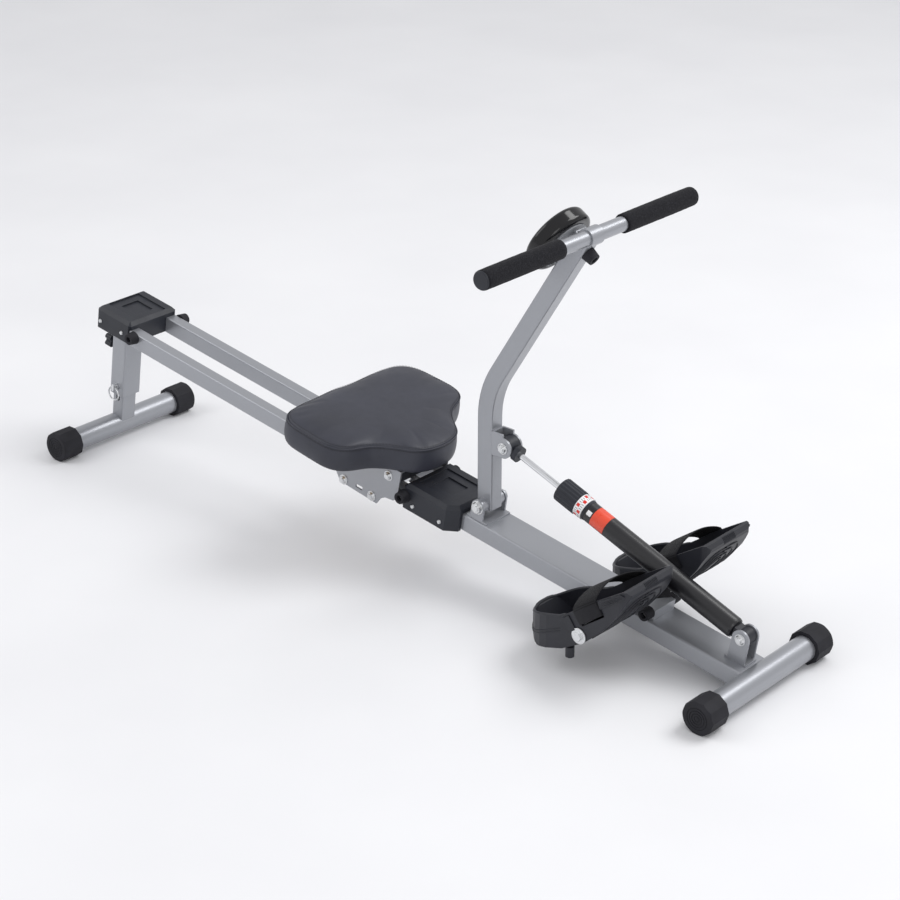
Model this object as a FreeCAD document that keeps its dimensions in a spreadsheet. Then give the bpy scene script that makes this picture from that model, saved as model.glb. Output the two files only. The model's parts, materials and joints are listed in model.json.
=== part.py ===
"""Rowing machine with one hydraulic cylinder, a sliding seat on two rails and a swinging handle arm.

The row frame has its origin on the floor, midway between the two foot tubes: +X points forward, from
the seat to the cylinder, +Y to the rower's left and +Z up. Rails, main beam, seat and rear leg are
drawn in the "rail frame", which starts above the rear foot tube on the top face of the rails and
leans down towards the front: there X runs along the rails, Y across and Z square to their top face.
"""
import FreeCAD, Part
import math
import os
import re
import Sketcher
from FreeCAD import Placement, Rotation, Vector

# ---------------------------------------------------------------- driving dimensions, millimetres
SIZES = {
    # stance
    "half_stance": 660, "rail_tilt": 9, "rail_top_height": 245.6,
    # foot tubes and their faceted caps
    "foot_radius": 19, "foot_wall": 2, "foot_half_length": 139, "cap_apothem": 24.5, "cap_length": 38.6,
    "cap_outer_face": 147.5, "cap_sides": 10, "cap_chamfer": 2.5, "cap_ring_step": 4, "cap_ring_depth": 0.8,
    # slide rails
    "rail_inner": 30, "rail_width": 20, "rail_height": 28, "rail_start": 20, "rail_end": 794,
    "rail_wall": 1.5, "rail_corner": 2.5,
    # main beam
    "beam_start": 720, "beam_wall": 2, "beam_corner": 3,
    # housings over the two ends of the rails
    "housing_half_width": 52, "housing_top": 13, "housing_skin": 3, "housing_side_skin": 1.7,
    "housing_edge": 6, "front_housing_start": 711, "front_housing_end": 813, "front_housing_bottom": -29,
    "front_housing_corner": 16, "rear_housing_start": 14, "rear_housing_end": 96.5,
    "rear_housing_bottom": -25, "rear_housing_corner": 5, "recess_step": 2.2, "spacer_start": 60,
    # screws and rubber bumpers
    "screw_head_radius": 3.6, "screw_head": 2, "screw_radius": 2, "bumper_radius": 10.8,
    "bumper_face_radius": 9, "bumper_length": 14, "bumper_recess_radius": 4.8, "bumper_recess_depth": 8,
    "front_bumper_along": 716.5, "rear_bumper_along": 107, "bumper_drop": -7.5,
    # rear leg
    "sleeve_centre": 37, "sleeve_depth": 32, "sleeve_width": 39, "sleeve_wall": 2, "sleeve_bottom": -158,
    "sleeve_top": -3, "gusset_half": 19, "post_depth": 25, "post_width": 30, "post_wall": 2,
    "post_top": -30, "post_clearance": 0.3, "bushing_height": 30, "pin_height": -142, "pin_pitch": 25.4,
    "pin_radius": 4, "pin_hole_radius": 4.2, "pin_head_radius": 6, "pin_head_end": 29, "ring_radius": 12,
    "ring_wire": 1.3, "ring_out": 25.5,
    # clamp knob on the rear of the sleeve
    "clamp_height": -70, "clamp_radius": 12.5, "clamp_thickness": 13, "clamp_lobe_radius": 4.6,
    "clamp_stem_radius": 5, "clamp_back": -2,
    # pedals and their axle
    "axle_along": 1130, "axle_up": 8, "axle_radius": 5, "axle_fit": 0.06, "axle_tube_radius": 8,
    "axle_tube_half": 36.2, "pedal_inner_face": 36.5, "pedal_outer_face": 146.5, "pedal_wall": 4,
    "pedal_boss_radius": 9, "pedal_heel_round": 50, "pedal_toe_round": 14,
    "washer_radius": 12, "washer_thickness": 1.6,
    "strap_width": 50, "strap_thickness": 2.4, "strap_rise": 21, "strap_turn": 36.7,
    "stop_along": 1159, "stop_up": 10.4, "stop_radius": 9.4, "stop_face_radius": 8.6, "stop_lug_half": 24,
    "stop_length": 15.5,
    # cylinder clevis near the front foot
    "clevis_along": 1303.1, "clevis_up": 37.7, "clevis_inner": 10, "clevis_plate": 3, "clevis_radius": 14,
    "bolt_radius": 4, "bolt_fit": 0.06, "bolt_head": 4,
    # handle pivot
    "pivot_along": 835.9, "pivot_up": 21.9, "pivot_inner": 24, "pivot_plate": 3, "pivot_radius": 12,
    "pivot_bolt_radius": 5, "pivot_tube_radius": 10.5, "pivot_tube_half": 23.6,
    # handle arm
    "arm_depth": 28, "arm_width": 25, "arm_wall": 2, "arm_corner": 2.5, "arm_foot": -7,
    "arm_bend_height": 179, "arm_bend_angle": 31.7, "arm_bend_radius": 140, "arm_top": 326,
    "bar_height": 330, "bar_forward": 4.8, "bar_radius": 11, "bar_wall": 2, "bar_half_length": 229,
    "saddle_radius": 13.6, "saddle_half": 13, "grip_radius": 14.2, "grip_start": 68, "plug_end": 231.4,
    "arm_bumper_height": 305.5,
    # bracket for the eye of the cylinder's rod, from the arm pivot
    "eye_forward": 35.5, "eye_height": 101.6, "ear_inner": 10.4, "ear_plate": 3, "ear_radius": 15.5,
    # monitor on the upper arm
    "monitor_height": 286, "monitor_radius": 51, "monitor_back": -20.6, "monitor_thickness": 28,
    "monitor_edge": 7, "lens_radius": 31, "button_radius": 4.5, "button_height": 246.5, "button_proud": 2.2,
    # hydraulic cylinder, measured from its lower pin
    "cylinder_radius": 15.5, "cylinder_bore": 14.2, "cylinder_foot": 17, "cylinder_top": 294,
    "eye_outer_radius": 12, "gland_bore": 10.2, "gland_stub_radius": 12.2, "gland_bottom": 278,
    "gland_flange_top": 298, "scale_top": 312, "scale_radius": 17.2, "knob_top": 349, "knob_radius": 18.6,
    "knob_ribs": 20, "label_start": 256, "label_end": 281, "rod_radius": 4.5, "rod_end_radius": 15.3,
    "rod_end_half_width": 10.1, "rod_flange_radius": 12.5, "piston_radius": 8.6, "piston_at": 158,
    "piston_length": 12,
    # seat and carriage
    "seat_bottom": 30, "seat_top": 77, "seat_edge": 9, "board_bottom": 29.5, "board_top": 33.5,
    "plate_inner": 53, "plate_thickness": 3, "flange_inner": 36, "roller_radius": 12.8,
    "under_roller_radius": 9, "roller_height": 13, "under_roller_drop": -37.2, "rear_roller": 602,
    "front_roller": 683.5, "rear_under_roller": 595.7, "front_under_roller": 655, "roller_axle_radius": 4,
    "roller_inner": 32, "roller_outer": 49, "roller_boss_radius": 6,
}

doc = FreeCAD.newDocument("rowing_machine")
sheet = doc.addObject("Spreadsheet::Sheet", "sizes")
for row_number, (alias, value) in enumerate(SIZES.items(), 1):
    sheet.set(f"A{row_number}", alias)
    sheet.set(f"B{row_number}", str(value))
    sheet.setAlias(f"B{row_number}", alias)
doc.recompute()

X_AXIS = Vector(1, 0, 0)
Y_AXIS = Vector(0, 1, 0)
Z_AXIS = Vector(0, 0, 1)
TURN_TO_X = Rotation(Y_AXIS, 90)
TURN_TO_Y = Rotation(X_AXIS, -90)
AXIS_TURNS = {"X": TURN_TO_X, "Y": TURN_TO_Y, "Z": Rotation()}
NODES = []


def size(alias):
    """The value of one cell of the sheet."""
    return float(getattr(sheet, alias))


def linked(text):
    """An expression in which every alias refers to the sheet."""
    return re.sub(r"[a-z_]+", lambda m: "sizes." + m.group() if m.group() in SIZES else m.group(), str(text))


def value_of(text):
    """The number that an expression of aliases stands for, read from the sheet."""
    probe = doc.addObject("App::FeaturePython", "probe")
    probe.addProperty("App::PropertyFloat", "Number")
    probe.setExpression("Number", linked(text))
    probe.recompute()
    number = probe.Number
    doc.removeObject(probe.Name)
    return number


# ---------------------------------------------------------------- frames
RAIL_ORIGIN = Vector(-size("half_stance"), 0, size("rail_top_height"))
RAIL_TURN = Rotation(Y_AXIS, size("rail_tilt"))
RAIL_FRAME = Placement(RAIL_ORIGIN, RAIL_TURN)


def rail_point(along, up):
    """A point of the rail frame's middle plane, in the row frame."""
    return RAIL_FRAME.multVec(Vector(along, 0, up))


PIVOT = rail_point(size("pivot_along"), size("pivot_up"))
AXLE = rail_point(size("axle_along"), size("axle_up"))
CLEVIS = rail_point(size("clevis_along"), size("clevis_up"))
ROD_EYE = PIVOT + Vector(size("eye_forward"), 0, size("eye_height"))
ARM_FRAME = Placement(PIVOT, Rotation())
BEND = PIVOT + Vector(0, 0, size("arm_bend_height"))
UPPER_FRAME = Placement(BEND, Rotation(Y_AXIS, size("arm_bend_angle")))
CYLINDER_AXIS = (ROD_EYE - CLEVIS).normalize()
PIN_DISTANCE = (ROD_EYE - CLEVIS).Length
CYLINDER_FRAME = Placement(CLEVIS, Rotation(Z_AXIS, CYLINDER_AXIS))
AXLE_FRAME = Placement(AXLE, Rotation())
ROW_FRAME = Placement()


# ---------------------------------------------------------------- drawing helpers
def box(length, width, height, at):
    """A box whose sizes and corner are expressions of the sheet's aliases."""
    item = doc.addObject("Part::Box", "box")
    for prop, text in (("Length", length), ("Width", width), ("Height", height)):
        item.setExpression(prop, linked(text))
    move(item, at)
    return item


def wide_box(start, end, half_width, bottom, top):
    """A box centred across the machine, from start to end along X and from bottom to top."""
    return box(f"({end}) - ({start})", f"2 * ({half_width})", f"({top}) - ({bottom})",
               (start, f"-({half_width})", bottom))


def rod(radius, length, at, axis="Y"):
    """A cylinder that starts at a point and runs along one axis."""
    item = doc.addObject("Part::Cylinder", "rod")
    item.setExpression("Radius", linked(radius))
    item.setExpression("Height", linked(length))
    item.Placement.Rotation = AXIS_TURNS[axis]
    move(item, at)
    return item


def cross_rod(radius, half_length, along, up):
    """A cylinder across the machine, centred on its middle plane."""
    return rod(radius, f"2 * ({half_length})", (along, f"-({half_length})", up))


def cone(radius, end_radius, length, at, axis="Y"):
    """A cone frustum that starts at a point and runs along one axis."""
    item = doc.addObject("Part::Cone", "cone")
    item.setExpression("Radius1", linked(radius))
    item.setExpression("Radius2", linked(end_radius))
    item.setExpression("Height", linked(length))
    item.Placement.Rotation = AXIS_TURNS[axis]
    move(item, at)
    return item


def move(item, at):
    for prop, text in zip("xyz", at):
        item.setExpression(f"Placement.Base.{prop}", linked(text))


def fuse(*items):
    item = doc.addObject("Part::MultiFuse", "fuse")
    item.Shapes = list(items)
    return item


def cut(base, *tools):
    item = doc.addObject("Part::Cut", "cut")
    item.Base = base
    item.Tool = tools[0] if len(tools) == 1 else fuse(*tools)
    return item


def common(first, second):
    item = doc.addObject("Part::Common", "common")
    item.Base = first
    item.Tool = second
    return item


def mirrored(item):
    """The same piece on the other side of the machine."""
    copy = doc.addObject("Part::Mirroring", "mirrored")
    copy.Source = item
    copy.Base = Vector(0, 0, 0)
    copy.Normal = Y_AXIS
    return copy


def both_sides(*items):
    return [side for item in items for side in (item, mirrored(item))]


def shaped(shape):
    """A feature that holds a shape drawn with Part's own functions."""
    item = doc.addObject("Part::Feature", "shaped")
    item.Shape = shape
    return item


def rounded(item, radius, direction):
    """Rounds the edges of a piece that run along one direction."""
    doc.recompute()
    picked = []
    for index, edge in enumerate(item.Shape.Edges, 1):
        span = edge.Vertexes[-1].Point - edge.Vertexes[0].Point
        if span.Length > 0 and abs(span.normalize().dot(direction)) > 0.999:
            picked.append((index, size(radius), size(radius)))
    fillet = doc.addObject("Part::Fillet", "rounded")
    fillet.Base = item
    fillet.Edges = picked
    return fillet


def placed(frame, item):
    """A piece carried from a frame of its own into the row frame."""
    group = doc.addObject("Part::Compound", "placed")
    group.Links = [item]
    group.Placement = frame
    return group


def node(label, frame, *items):
    """One named sub-part: its solids, placed in the row by its frame."""
    group = doc.addObject("Part::Compound", label)
    group.Label = label
    group.Links = list(items)
    group.Placement = frame
    NODES.append(group)


def polygon_prism(points, low, high):
    """A prism across the machine over a polygon of (X, Z) points, from Y = low to Y = high."""
    corners = [Vector(x, low, z) for x, z in points]
    face = Part.Face(Part.makePolygon(corners + corners[:1]))
    return face.extrude(Vector(0, high - low, 0))


def spline_prism(points, low, high):
    """A prism along Z over a closed smooth outline of (X, Y) points."""
    curve = Part.BSplineCurve()
    curve.interpolate([Vector(x, y, low) for x, y in points], PeriodicFlag=True)
    face = Part.Face(Part.Wire(curve.toShape()))
    return face.extrude(Vector(0, 0, high - low))


def body_sketch(body, role, name, points, offset="0"):
    """A closed polygon sketched on one of a body's own planes, each corner held by two distances."""
    sketch = body.newObject("Sketcher::SketchObject", name)
    plane = next(item for item in body.Origin.OriginFeatures if item.Role == role)
    sketch.AttachmentSupport = [(plane, "")]
    sketch.MapMode = "FlatFace"
    sketch.AttachmentOffset = Placement(Vector(0, 0, value_of(offset)), Rotation())
    places = [Vector(value_of(x), value_of(y), 0) for x, y in points]
    count = len(places)
    for index in range(count):
        sketch.addGeometry(Part.LineSegment(places[index], places[(index + 1) % count]), False)
    for index in range(count):
        sketch.addConstraint(Sketcher.Constraint("Coincident", index, 2, (index + 1) % count, 1))
    for index, corner in enumerate(points):
        for kind, text, place in zip(("DistanceX", "DistanceY"), corner, places[index]):
            held = sketch.addConstraint(Sketcher.Constraint(kind, -1, 1, index, 1, place))
            sketch.setExpression(f"Constraints[{held}]", linked(text))
    return sketch


def pad(body, sketch, length, reversed_pad=False, midplane=False):
    feature = body.newObject("PartDesign::Pad", "pad")
    feature.Profile = sketch
    feature.setExpression("Length", linked(length))
    feature.Reversed = reversed_pad
    feature.Midplane = midplane
    return feature


def pocket(body, sketch, length, reversed_pocket=False, midplane=False):
    """A pocket that has to take material away."""
    doc.recompute()
    before = body.Shape.Volume
    feature = body.newObject("PartDesign::Pocket", "pocket")
    feature.Profile = sketch
    feature.setExpression("Length", linked(length))
    feature.Reversed = reversed_pocket
    feature.Midplane = midplane
    doc.recompute()
    if body.Shape.Volume >= before:
        raise RuntimeError(f"{body.Label}: a pocket cuts nothing")
    return feature


def new_body(label, frame):
    body = doc.addObject("PartDesign::Body", label)
    body.Label = label
    body.Placement = frame
    NODES.append(body)
    return body


# ---------------------------------------------------------------- feet
def foot_tube(label, frame):
    tube = cross_rod("foot_radius", "foot_half_length", 0, 0)
    bore = cross_rod("foot_radius - foot_wall", "foot_half_length + 1", 0, 0)
    node(label, frame, cut(tube, bore))


def foot_caps(label, frame):
    """Two faceted rubber caps, with rings pressed into their end faces."""
    prism = doc.addObject("Part::Prism", "cap")
    prism.setExpression("Polygon", linked("cap_sides"))
    prism.setExpression("Circumradius", linked("cap_apothem / cos(180 deg / cap_sides)"))
    prism.setExpression("Height", linked("cap_length"))
    prism.Placement.Rotation = TURN_TO_Y
    move(prism, (0, "cap_outer_face - cap_length", 0))
    point_cone = cone("cap_apothem / cos(180 deg / cap_sides) + cap_length",
                      "cap_apothem / cos(180 deg / cap_sides) - cap_chamfer",
                      "cap_length + cap_chamfer", (0, "cap_outer_face - cap_length - cap_chamfer", 0))
    socket = rod("foot_radius + 0.1", "foot_half_length - cap_outer_face + cap_length + 0.2",
                 (0, "cap_outer_face - cap_length - 0.1", 0))
    rings = [socket]
    for number in range(1, 5):
        outer = rod(f"{number} * cap_ring_step + 0.7", "cap_ring_depth + 1",
                    (0, "cap_outer_face - cap_ring_depth", 0))
        inner = rod(f"{number} * cap_ring_step - 0.7", "cap_ring_depth + 2",
                    (0, "cap_outer_face - cap_ring_depth - 0.5", 0))
        rings.append(cut(outer, inner))
    cap = cut(common(prism, point_cone), *rings)
    node(label, frame, *both_sides(cap))


# ---------------------------------------------------------------- rails and beam
def slide_rails():
    for label, side in (("rail_left", 1), ("rail_right", -1)):
        outer = box("rail_end - rail_start", "rail_width", "rail_height",
                    ("rail_start", "rail_inner", "-rail_height"))
        bore = box("rail_end - rail_start + 2", "rail_width - 2 * rail_wall", "rail_height - 2 * rail_wall",
                   ("rail_start - 1", "rail_inner + rail_wall", "rail_wall - rail_height"))
        holes = []
        for along, up in SIDE_SCREWS + BUMPER_SCREWS:
            holes.append(rod("screw_radius + 0.03", "10", (along, "rail_inner + rail_width - 5", up)))
        rail = cut(rounded(outer, "rail_corner", X_AXIS), bore, *holes)
        node(label, RAIL_FRAME, rail if side > 0 else mirrored(rail))


def main_beam():
    """A flat rectangular tube, coped at the front where it is welded to the front foot tube."""
    outer = rounded(wide_box("beam_start", FRONT_FOOT[0], "rail_inner", "-rail_height", "0"),
                    "beam_corner", X_AXIS)
    bore = wide_box("beam_start - 1", f"{FRONT_FOOT[0]} + 1", "rail_inner - beam_wall",
                    "beam_wall - rail_height", "-beam_wall")
    cope = cross_rod("foot_radius + 0.02", "rail_inner + 10", *FRONT_FOOT)
    node("main_beam", RAIL_FRAME, cut(outer, bore, cope))


# ---------------------------------------------------------------- housings
def corner_points(start, end, near_corner, far_corner, half):
    """A rectangle over the rails' width, with its four corners cut off."""
    near = f"({near_corner})"
    far = f"({far_corner})"
    return [(start, f"-({half}) + {near}"), (f"{start} + {near}", f"-({half})"),
            (f"{end} - {far}", f"-({half})"), (end, f"-({half}) + {far}"),
            (end, f"{half} - {far}"), (f"{end} - {far}", half),
            (f"{start} + {near}", half), (start, f"{half} - {near}")]


def housing(label, start, end, bottom, corners, room, recess):
    """A moulded cover: a shell that is open below and where the rails leave it."""
    body = new_body(label, RAIL_FRAME)
    outline = corner_points(start, end, corners[0], corners[1], "housing_half_width")
    block = pad(body, body_sketch(body, "XY_Plane", "outline", outline, bottom), f"housing_top - ({bottom})")
    doc.recompute()
    top = value_of("housing_top")
    edges = [f"Edge{index}" for index, edge in enumerate(block.Shape.Edges, 1)
             if all(abs(vertex.Point.z - top) < 0.01 for vertex in edge.Vertexes)]
    chamfer = body.newObject("PartDesign::Chamfer", "top_edges")
    chamfer.Base = (block, edges)
    chamfer.setExpression("Size", linked("housing_edge"))
    doc.recompute()
    lower = corner_points(room[0], room[1], room[2], room[3], "housing_half_width - housing_side_skin")
    pocket(body, body_sketch(body, "XY_Plane", "rail_room", lower, "0.3"), f"0.3 - ({bottom}) + 1")
    roof_top = "housing_top - housing_skin - 2 * recess_step"
    roof = corner_points(f"{start} + {corners[0]} + 4", f"{end} - {corners[1]} - 4", "1", "1",
                         "housing_half_width - 3 * housing_skin")
    pocket(body, body_sketch(body, "XY_Plane", "roof_room", roof, roof_top), roof_top)
    middle, half_along, half_across = recess
    for number, scale in ((0, 1.0), (1, 0.55)):
        sides = corner_points(f"{middle} - {scale} * {half_along}", f"{middle} + {scale} * {half_along}",
                              "0.8", "0.8", f"{scale} * {half_across}")
        sketch = body_sketch(body, "XY_Plane", "recess", sides, f"housing_top - {number} * recess_step")
        pocket(body, sketch, "recess_step")
    return body


def side_hole(body, along, up):
    """A pair of screw holes through both side skins of a housing."""
    tip = body.Tip
    cutter = body.newObject("PartDesign::SubtractiveCylinder", "screw_hole")
    cutter.setExpression("Radius", linked("screw_radius + 0.03"))
    cutter.setExpression("Height", linked("2 * housing_half_width + 2"))
    place = Vector(value_of(along), value_of("housing_half_width + 1"), value_of(up))
    cutter.Placement = Placement(place, Rotation(X_AXIS, 90))
    cutter.BaseFeature = tip
    doc.recompute()
    if cutter.Shape.Volume >= tip.Shape.Volume:
        raise RuntimeError(f"{body.Label}: a screw hole cuts nothing")


def housings():
    front = housing("front_housing", "front_housing_start", "front_housing_end", "front_housing_bottom",
                    ("4", "front_housing_corner"),
                    ("front_housing_start - 8", "front_housing_end - housing_skin", "0.5",
                     "front_housing_corner - 1"), ("760", "36", "33"))
    beam_way = corner_points("790", "830", "0.1", "0.1", "rail_inner + 0.3")
    pocket(front, body_sketch(front, "XY_Plane", "beam_way", beam_way, "0.3"), "40")
    rear = housing("rear_housing", "rear_housing_start", "rear_housing_end", "rear_housing_bottom",
                   ("rear_housing_corner", "4"),
                   ("rear_housing_start + housing_skin", "rear_housing_end + 8", "2", "0.5"),
                   ("55.5", "34", "33"))
    for along, up in REAR_SCREWS:
        side_hole(rear, along, up)
    for along, up in FRONT_SCREWS + [FRONT_BUMPER]:
        side_hole(front, along, up)
    node("rear_spacer_block", RAIL_FRAME,
         wide_box("spacer_start", "rear_housing_end - 1", "rail_inner", "2 - rail_height", "0"))


# ---------------------------------------------------------------- small hardware
def pan_screw(along, up, face, shank):
    """A screw in the left side: a low head on a face and a shank that goes inwards from it."""
    head = cone("screw_head_radius", "screw_head_radius - 0.9", "screw_head", (along, face, up))
    stem = rod("screw_radius", f"{shank} + 0.5", (along, f"{face} - {shank}", up))
    return fuse(head, stem)


def rubber_bumper(along, up, face, radius, face_radius, length):
    """A conical rubber stop on the left, hollowed at its end for the screw that holds it."""
    outside = cone(radius, face_radius, length, (along, face, up))
    recess = rod("bumper_recess_radius", length, (along, f"{face} + {length} - bumper_recess_depth", up))
    bore = rod("screw_radius + 0.03", f"{length} + 1", (along, f"{face} - 0.5", up))
    return cut(outside, recess, bore)


def bumper_screw(along, up, face, length, shank):
    head = rod("screw_head_radius", "screw_head", (along, f"{face} + {length} - bumper_recess_depth", up))
    stem = rod("screw_radius", f"{length} - bumper_recess_depth + {shank} + 0.5",
               (along, f"{face} - {shank}", up))
    return fuse(head, stem)


def rubber_stops():
    """Rubber bumpers for the seat and the pedals, with the screws that hold them and the housings."""
    bumpers = []
    screws = [pan_screw(along, up, "housing_half_width", "5.5") for along, up in SIDE_SCREWS]
    for (along, up), face, shank in ((REAR_BUMPER, "50", "5"), (FRONT_BUMPER, "housing_half_width", "7")):
        bumpers.append(rubber_bumper(along, up, face, "bumper_radius", "bumper_face_radius",
                                     "bumper_length"))
        screws.append(bumper_screw(along, up, face, "bumper_length", shank))
    bumpers.append(rubber_bumper("stop_along", "stop_up", "stop_lug_half", "stop_radius",
                                 "stop_face_radius", "stop_length"))
    screws.append(bumper_screw("stop_along", "stop_up", "stop_lug_half", "stop_length", "6"))
    node("rubber_stops", RAIL_FRAME, *both_sides(*bumpers))
    node("frame_screws", RAIL_FRAME, *both_sides(*screws))


def hex_prism(radius, length, at):
    """A hexagon across the machine, given by its corner radius."""
    prism = doc.addObject("Part::Prism", "hexagon")
    prism.Polygon = 6
    prism.setExpression("Circumradius", linked(radius))
    prism.setExpression("Height", linked(length))
    prism.Placement.Rotation = TURN_TO_Y
    move(prism, at)
    return prism


def through_bolt(radius, half_grip, head, head_radius, along="0", up="0"):
    """A bolt across the machine: a domed head with a washer on the right and a hexagon nut on the left."""
    stem = cross_rod(radius, f"{half_grip} + {head} + 2", along, up)
    nut = hex_prism(head_radius, head, (along, half_grip, up))
    washer = rod(f"{head_radius} + 1.5", "1.2", (along, f"-({half_grip}) - 1.2", up))
    dome = cone(f"{head_radius} - 1.6", head_radius, f"{head} - 1.2", (along, f"-({half_grip}) - {head}", up))
    return fuse(stem, nut, washer, dome)


# ---------------------------------------------------------------- rear leg
def rear_leg():
    inner_depth = "(sleeve_depth / 2 - sleeve_wall)"
    inner_width = "(sleeve_width / 2 - sleeve_wall)"
    pin_hole = rod("pin_hole_radius", "sleeve_width", ("sleeve_centre", "-sleeve_width", "pin_height"))
    outer = rounded(wide_box("sleeve_centre - sleeve_depth / 2", "sleeve_centre + sleeve_depth / 2",
                             "sleeve_width / 2", "sleeve_bottom", "sleeve_top"), "rail_corner", Z_AXIS)
    bore = wide_box(f"sleeve_centre - {inner_depth}", f"sleeve_centre + {inner_depth}", inner_width,
                    "sleeve_bottom - 1", "sleeve_top + 1")
    stem_hole = rod("clamp_stem_radius + axle_fit", "sleeve_depth",
                    ("sleeve_centre - sleeve_depth", 0, "clamp_height"), "X")
    saddle = wide_box("sleeve_centre - gusset_half", "sleeve_centre + gusset_half", "rail_inner",
                      "2 - rail_height", "sleeve_top - 3")
    nut = rod("clamp_stem_radius + 4.5", "5.5",
              ("sleeve_centre - sleeve_depth / 2 - 5", 0, "clamp_height"), "X")
    node("post_sleeve", RAIL_FRAME, cut(fuse(outer, saddle, nut), bore, pin_hole, stem_hole))

    liner = wide_box(f"sleeve_centre - {inner_depth}", f"sleeve_centre + {inner_depth}", inner_width,
                     "sleeve_bottom", "sleeve_bottom + bushing_height")
    way = wide_box("sleeve_centre - post_depth / 2 - post_clearance",
                   "sleeve_centre + post_depth / 2 + post_clearance", "post_width / 2 + post_clearance",
                   "sleeve_bottom - 1", "sleeve_bottom + bushing_height + 1")
    node("sleeve_bushing", RAIL_FRAME, cut(liner, way, pin_hole))

    post = rounded(wide_box("sleeve_centre - post_depth / 2", "sleeve_centre + post_depth / 2",
                            "post_width / 2", REAR_FOOT[1], "post_top"), "rail_corner", Z_AXIS)
    inside = wide_box("sleeve_centre - post_depth / 2 + post_wall",
                      "sleeve_centre + post_depth / 2 - post_wall", "post_width / 2 - post_wall",
                      f"{REAR_FOOT[1]} - 1", "post_top + 1")
    cope = cross_rod("foot_radius + 0.02", "post_width", *REAR_FOOT)
    slot = [rod("pin_hole_radius", "post_width / 2 + 1",
                ("sleeve_centre", "-post_width / 2 - 1", f"pin_height + {end} * pin_pitch"))
            for end in (-1, 1)]
    slot.append(box("2 * pin_hole_radius", "post_width / 2 + 1", "2 * pin_pitch",
                    ("sleeve_centre - pin_hole_radius", "-post_width / 2 - 1", "pin_height - pin_pitch")))
    node("rear_post", RAIL_FRAME, cut(post, inside, cope, *slot))

    pin_tip = "(post_width / 2 - post_wall)"
    stem = rod("pin_radius", f"pin_head_end - {pin_tip}", ("sleeve_centre", "-pin_head_end", "pin_height"))
    head = rod("pin_head_radius", "pin_head_end - sleeve_width / 2 - 0.3",
               ("sleeve_centre", "-pin_head_end", "pin_height"))
    sides = [box("2 * pin_head_radius", "pin_head_end - ring_out + 2.6", "2 * pin_head_radius",
                 (along, "-pin_head_end", "pin_height - pin_head_radius"))
             for along in ("sleeve_centre + 2.4", "sleeve_centre - 2.4 - 2 * pin_head_radius")]
    eye = rod("ring_wire + 0.7", "4 * pin_head_radius",
              ("sleeve_centre - 2 * pin_head_radius", "-ring_out", "pin_height"), "X")
    node("lock_pin", RAIL_FRAME, cut(fuse(stem, head), eye, *sides))

    ring = doc.addObject("Part::Torus", "ring")
    ring.setExpression("Radius1", linked("ring_radius"))
    ring.setExpression("Radius2", linked("ring_wire"))
    ring.Placement.Rotation = TURN_TO_Y
    move(ring, ("sleeve_centre", "-ring_out", "pin_height - ring_radius"))
    node("pin_ring", RAIL_FRAME, ring)


def clamp_knob():
    """A star knob whose screw passes the sleeve's rear wall and presses on the post."""
    start = ("clamp_back", 0, "clamp_height")
    lobes = [rod("clamp_radius", "clamp_thickness", start, "X")]
    for number in range(6):
        lobe = rod("clamp_lobe_radius", "clamp_thickness",
                   ("clamp_back", f"clamp_radius * sin({number} * 60 deg)",
                    f"clamp_height + clamp_radius * cos({number} * 60 deg)"), "X")
        lobes.append(lobe)
    stem_length = "sleeve_centre - post_depth / 2 - post_clearance - clamp_back"
    lobes.append(rod("clamp_stem_radius", stem_length, start, "X"))
    node("clamp_knob", RAIL_FRAME, fuse(*lobes))


# ---------------------------------------------------------------- brackets on the beam
def bracket(label, along, up, inner, plate, radius, hole, foot):
    """A U of bent plate: a foot on the beam and two rounded ears with a cross hole."""
    outer = f"{inner} + {plate}"
    ears = fuse(cross_rod(radius, outer, along, up),
                wide_box(f"{along} - {radius}", f"{along} + {radius}", outer, "0", up))
    base = wide_box(foot[0], foot[1], outer, "0", plate)
    gap = wide_box(f"{along} - 3 * {radius}", f"{along} + 3 * {radius}", inner, plate, f"{up} + 2 * {radius}")
    bore = cross_rod(hole, f"{outer} + 1", along, up)
    node(label, RAIL_FRAME, cut(fuse(ears, base), gap, bore))


def brackets():
    bracket("handle_bracket", "pivot_along", "pivot_up", "pivot_inner", "pivot_plate", "pivot_radius",
            "pivot_bolt_radius + 0.03", ("pivot_along - pivot_radius - 6", "pivot_along + pivot_radius + 9"))
    bracket("cylinder_bracket", "clevis_along", "clevis_up", "clevis_inner", "clevis_plate", "clevis_radius",
            "bolt_radius + 0.03", ("clevis_along - clevis_radius - 5", "clevis_along + clevis_radius + 3"))
    node("pivot_bolts", ROW_FRAME,
         placed(ARM_FRAME, through_bolt("pivot_bolt_radius", "pivot_inner + pivot_plate", "5.5", "9.2")),
         placed(CYLINDER_FRAME,
                through_bolt("bolt_radius", "clevis_inner + clevis_plate", "bolt_head", "7.2")))
    tube = cross_rod("axle_tube_radius", "axle_tube_half", "axle_along", "axle_up")
    bore = cross_rod("axle_radius + 0.03", "axle_tube_half + 1", "axle_along", "axle_up")
    node("axle_tube", RAIL_FRAME, cut(tube, bore))
    node("pedal_axle", AXLE_FRAME, cross_rod("axle_radius", "pedal_outer_face + 0.4", "0", "0"))
    washer = rod("washer_radius", "washer_thickness", (0, "pedal_outer_face + 0.4", 0))
    head = hex_prism("6.8", "4.5", (0, "pedal_outer_face + 0.4 + washer_thickness", 0))
    node("pedal_end_bolts", AXLE_FRAME, *both_sides(fuse(washer, head)))
    lug = wide_box("stop_along - 9", "stop_along + 9", "stop_lug_half", "0", "stop_up + 6")
    hole = cross_rod("screw_radius + 0.03", "stop_lug_half + 1", "stop_along", "stop_up")
    node("pedal_stop_lug", RAIL_FRAME, cut(lug, hole))


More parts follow.
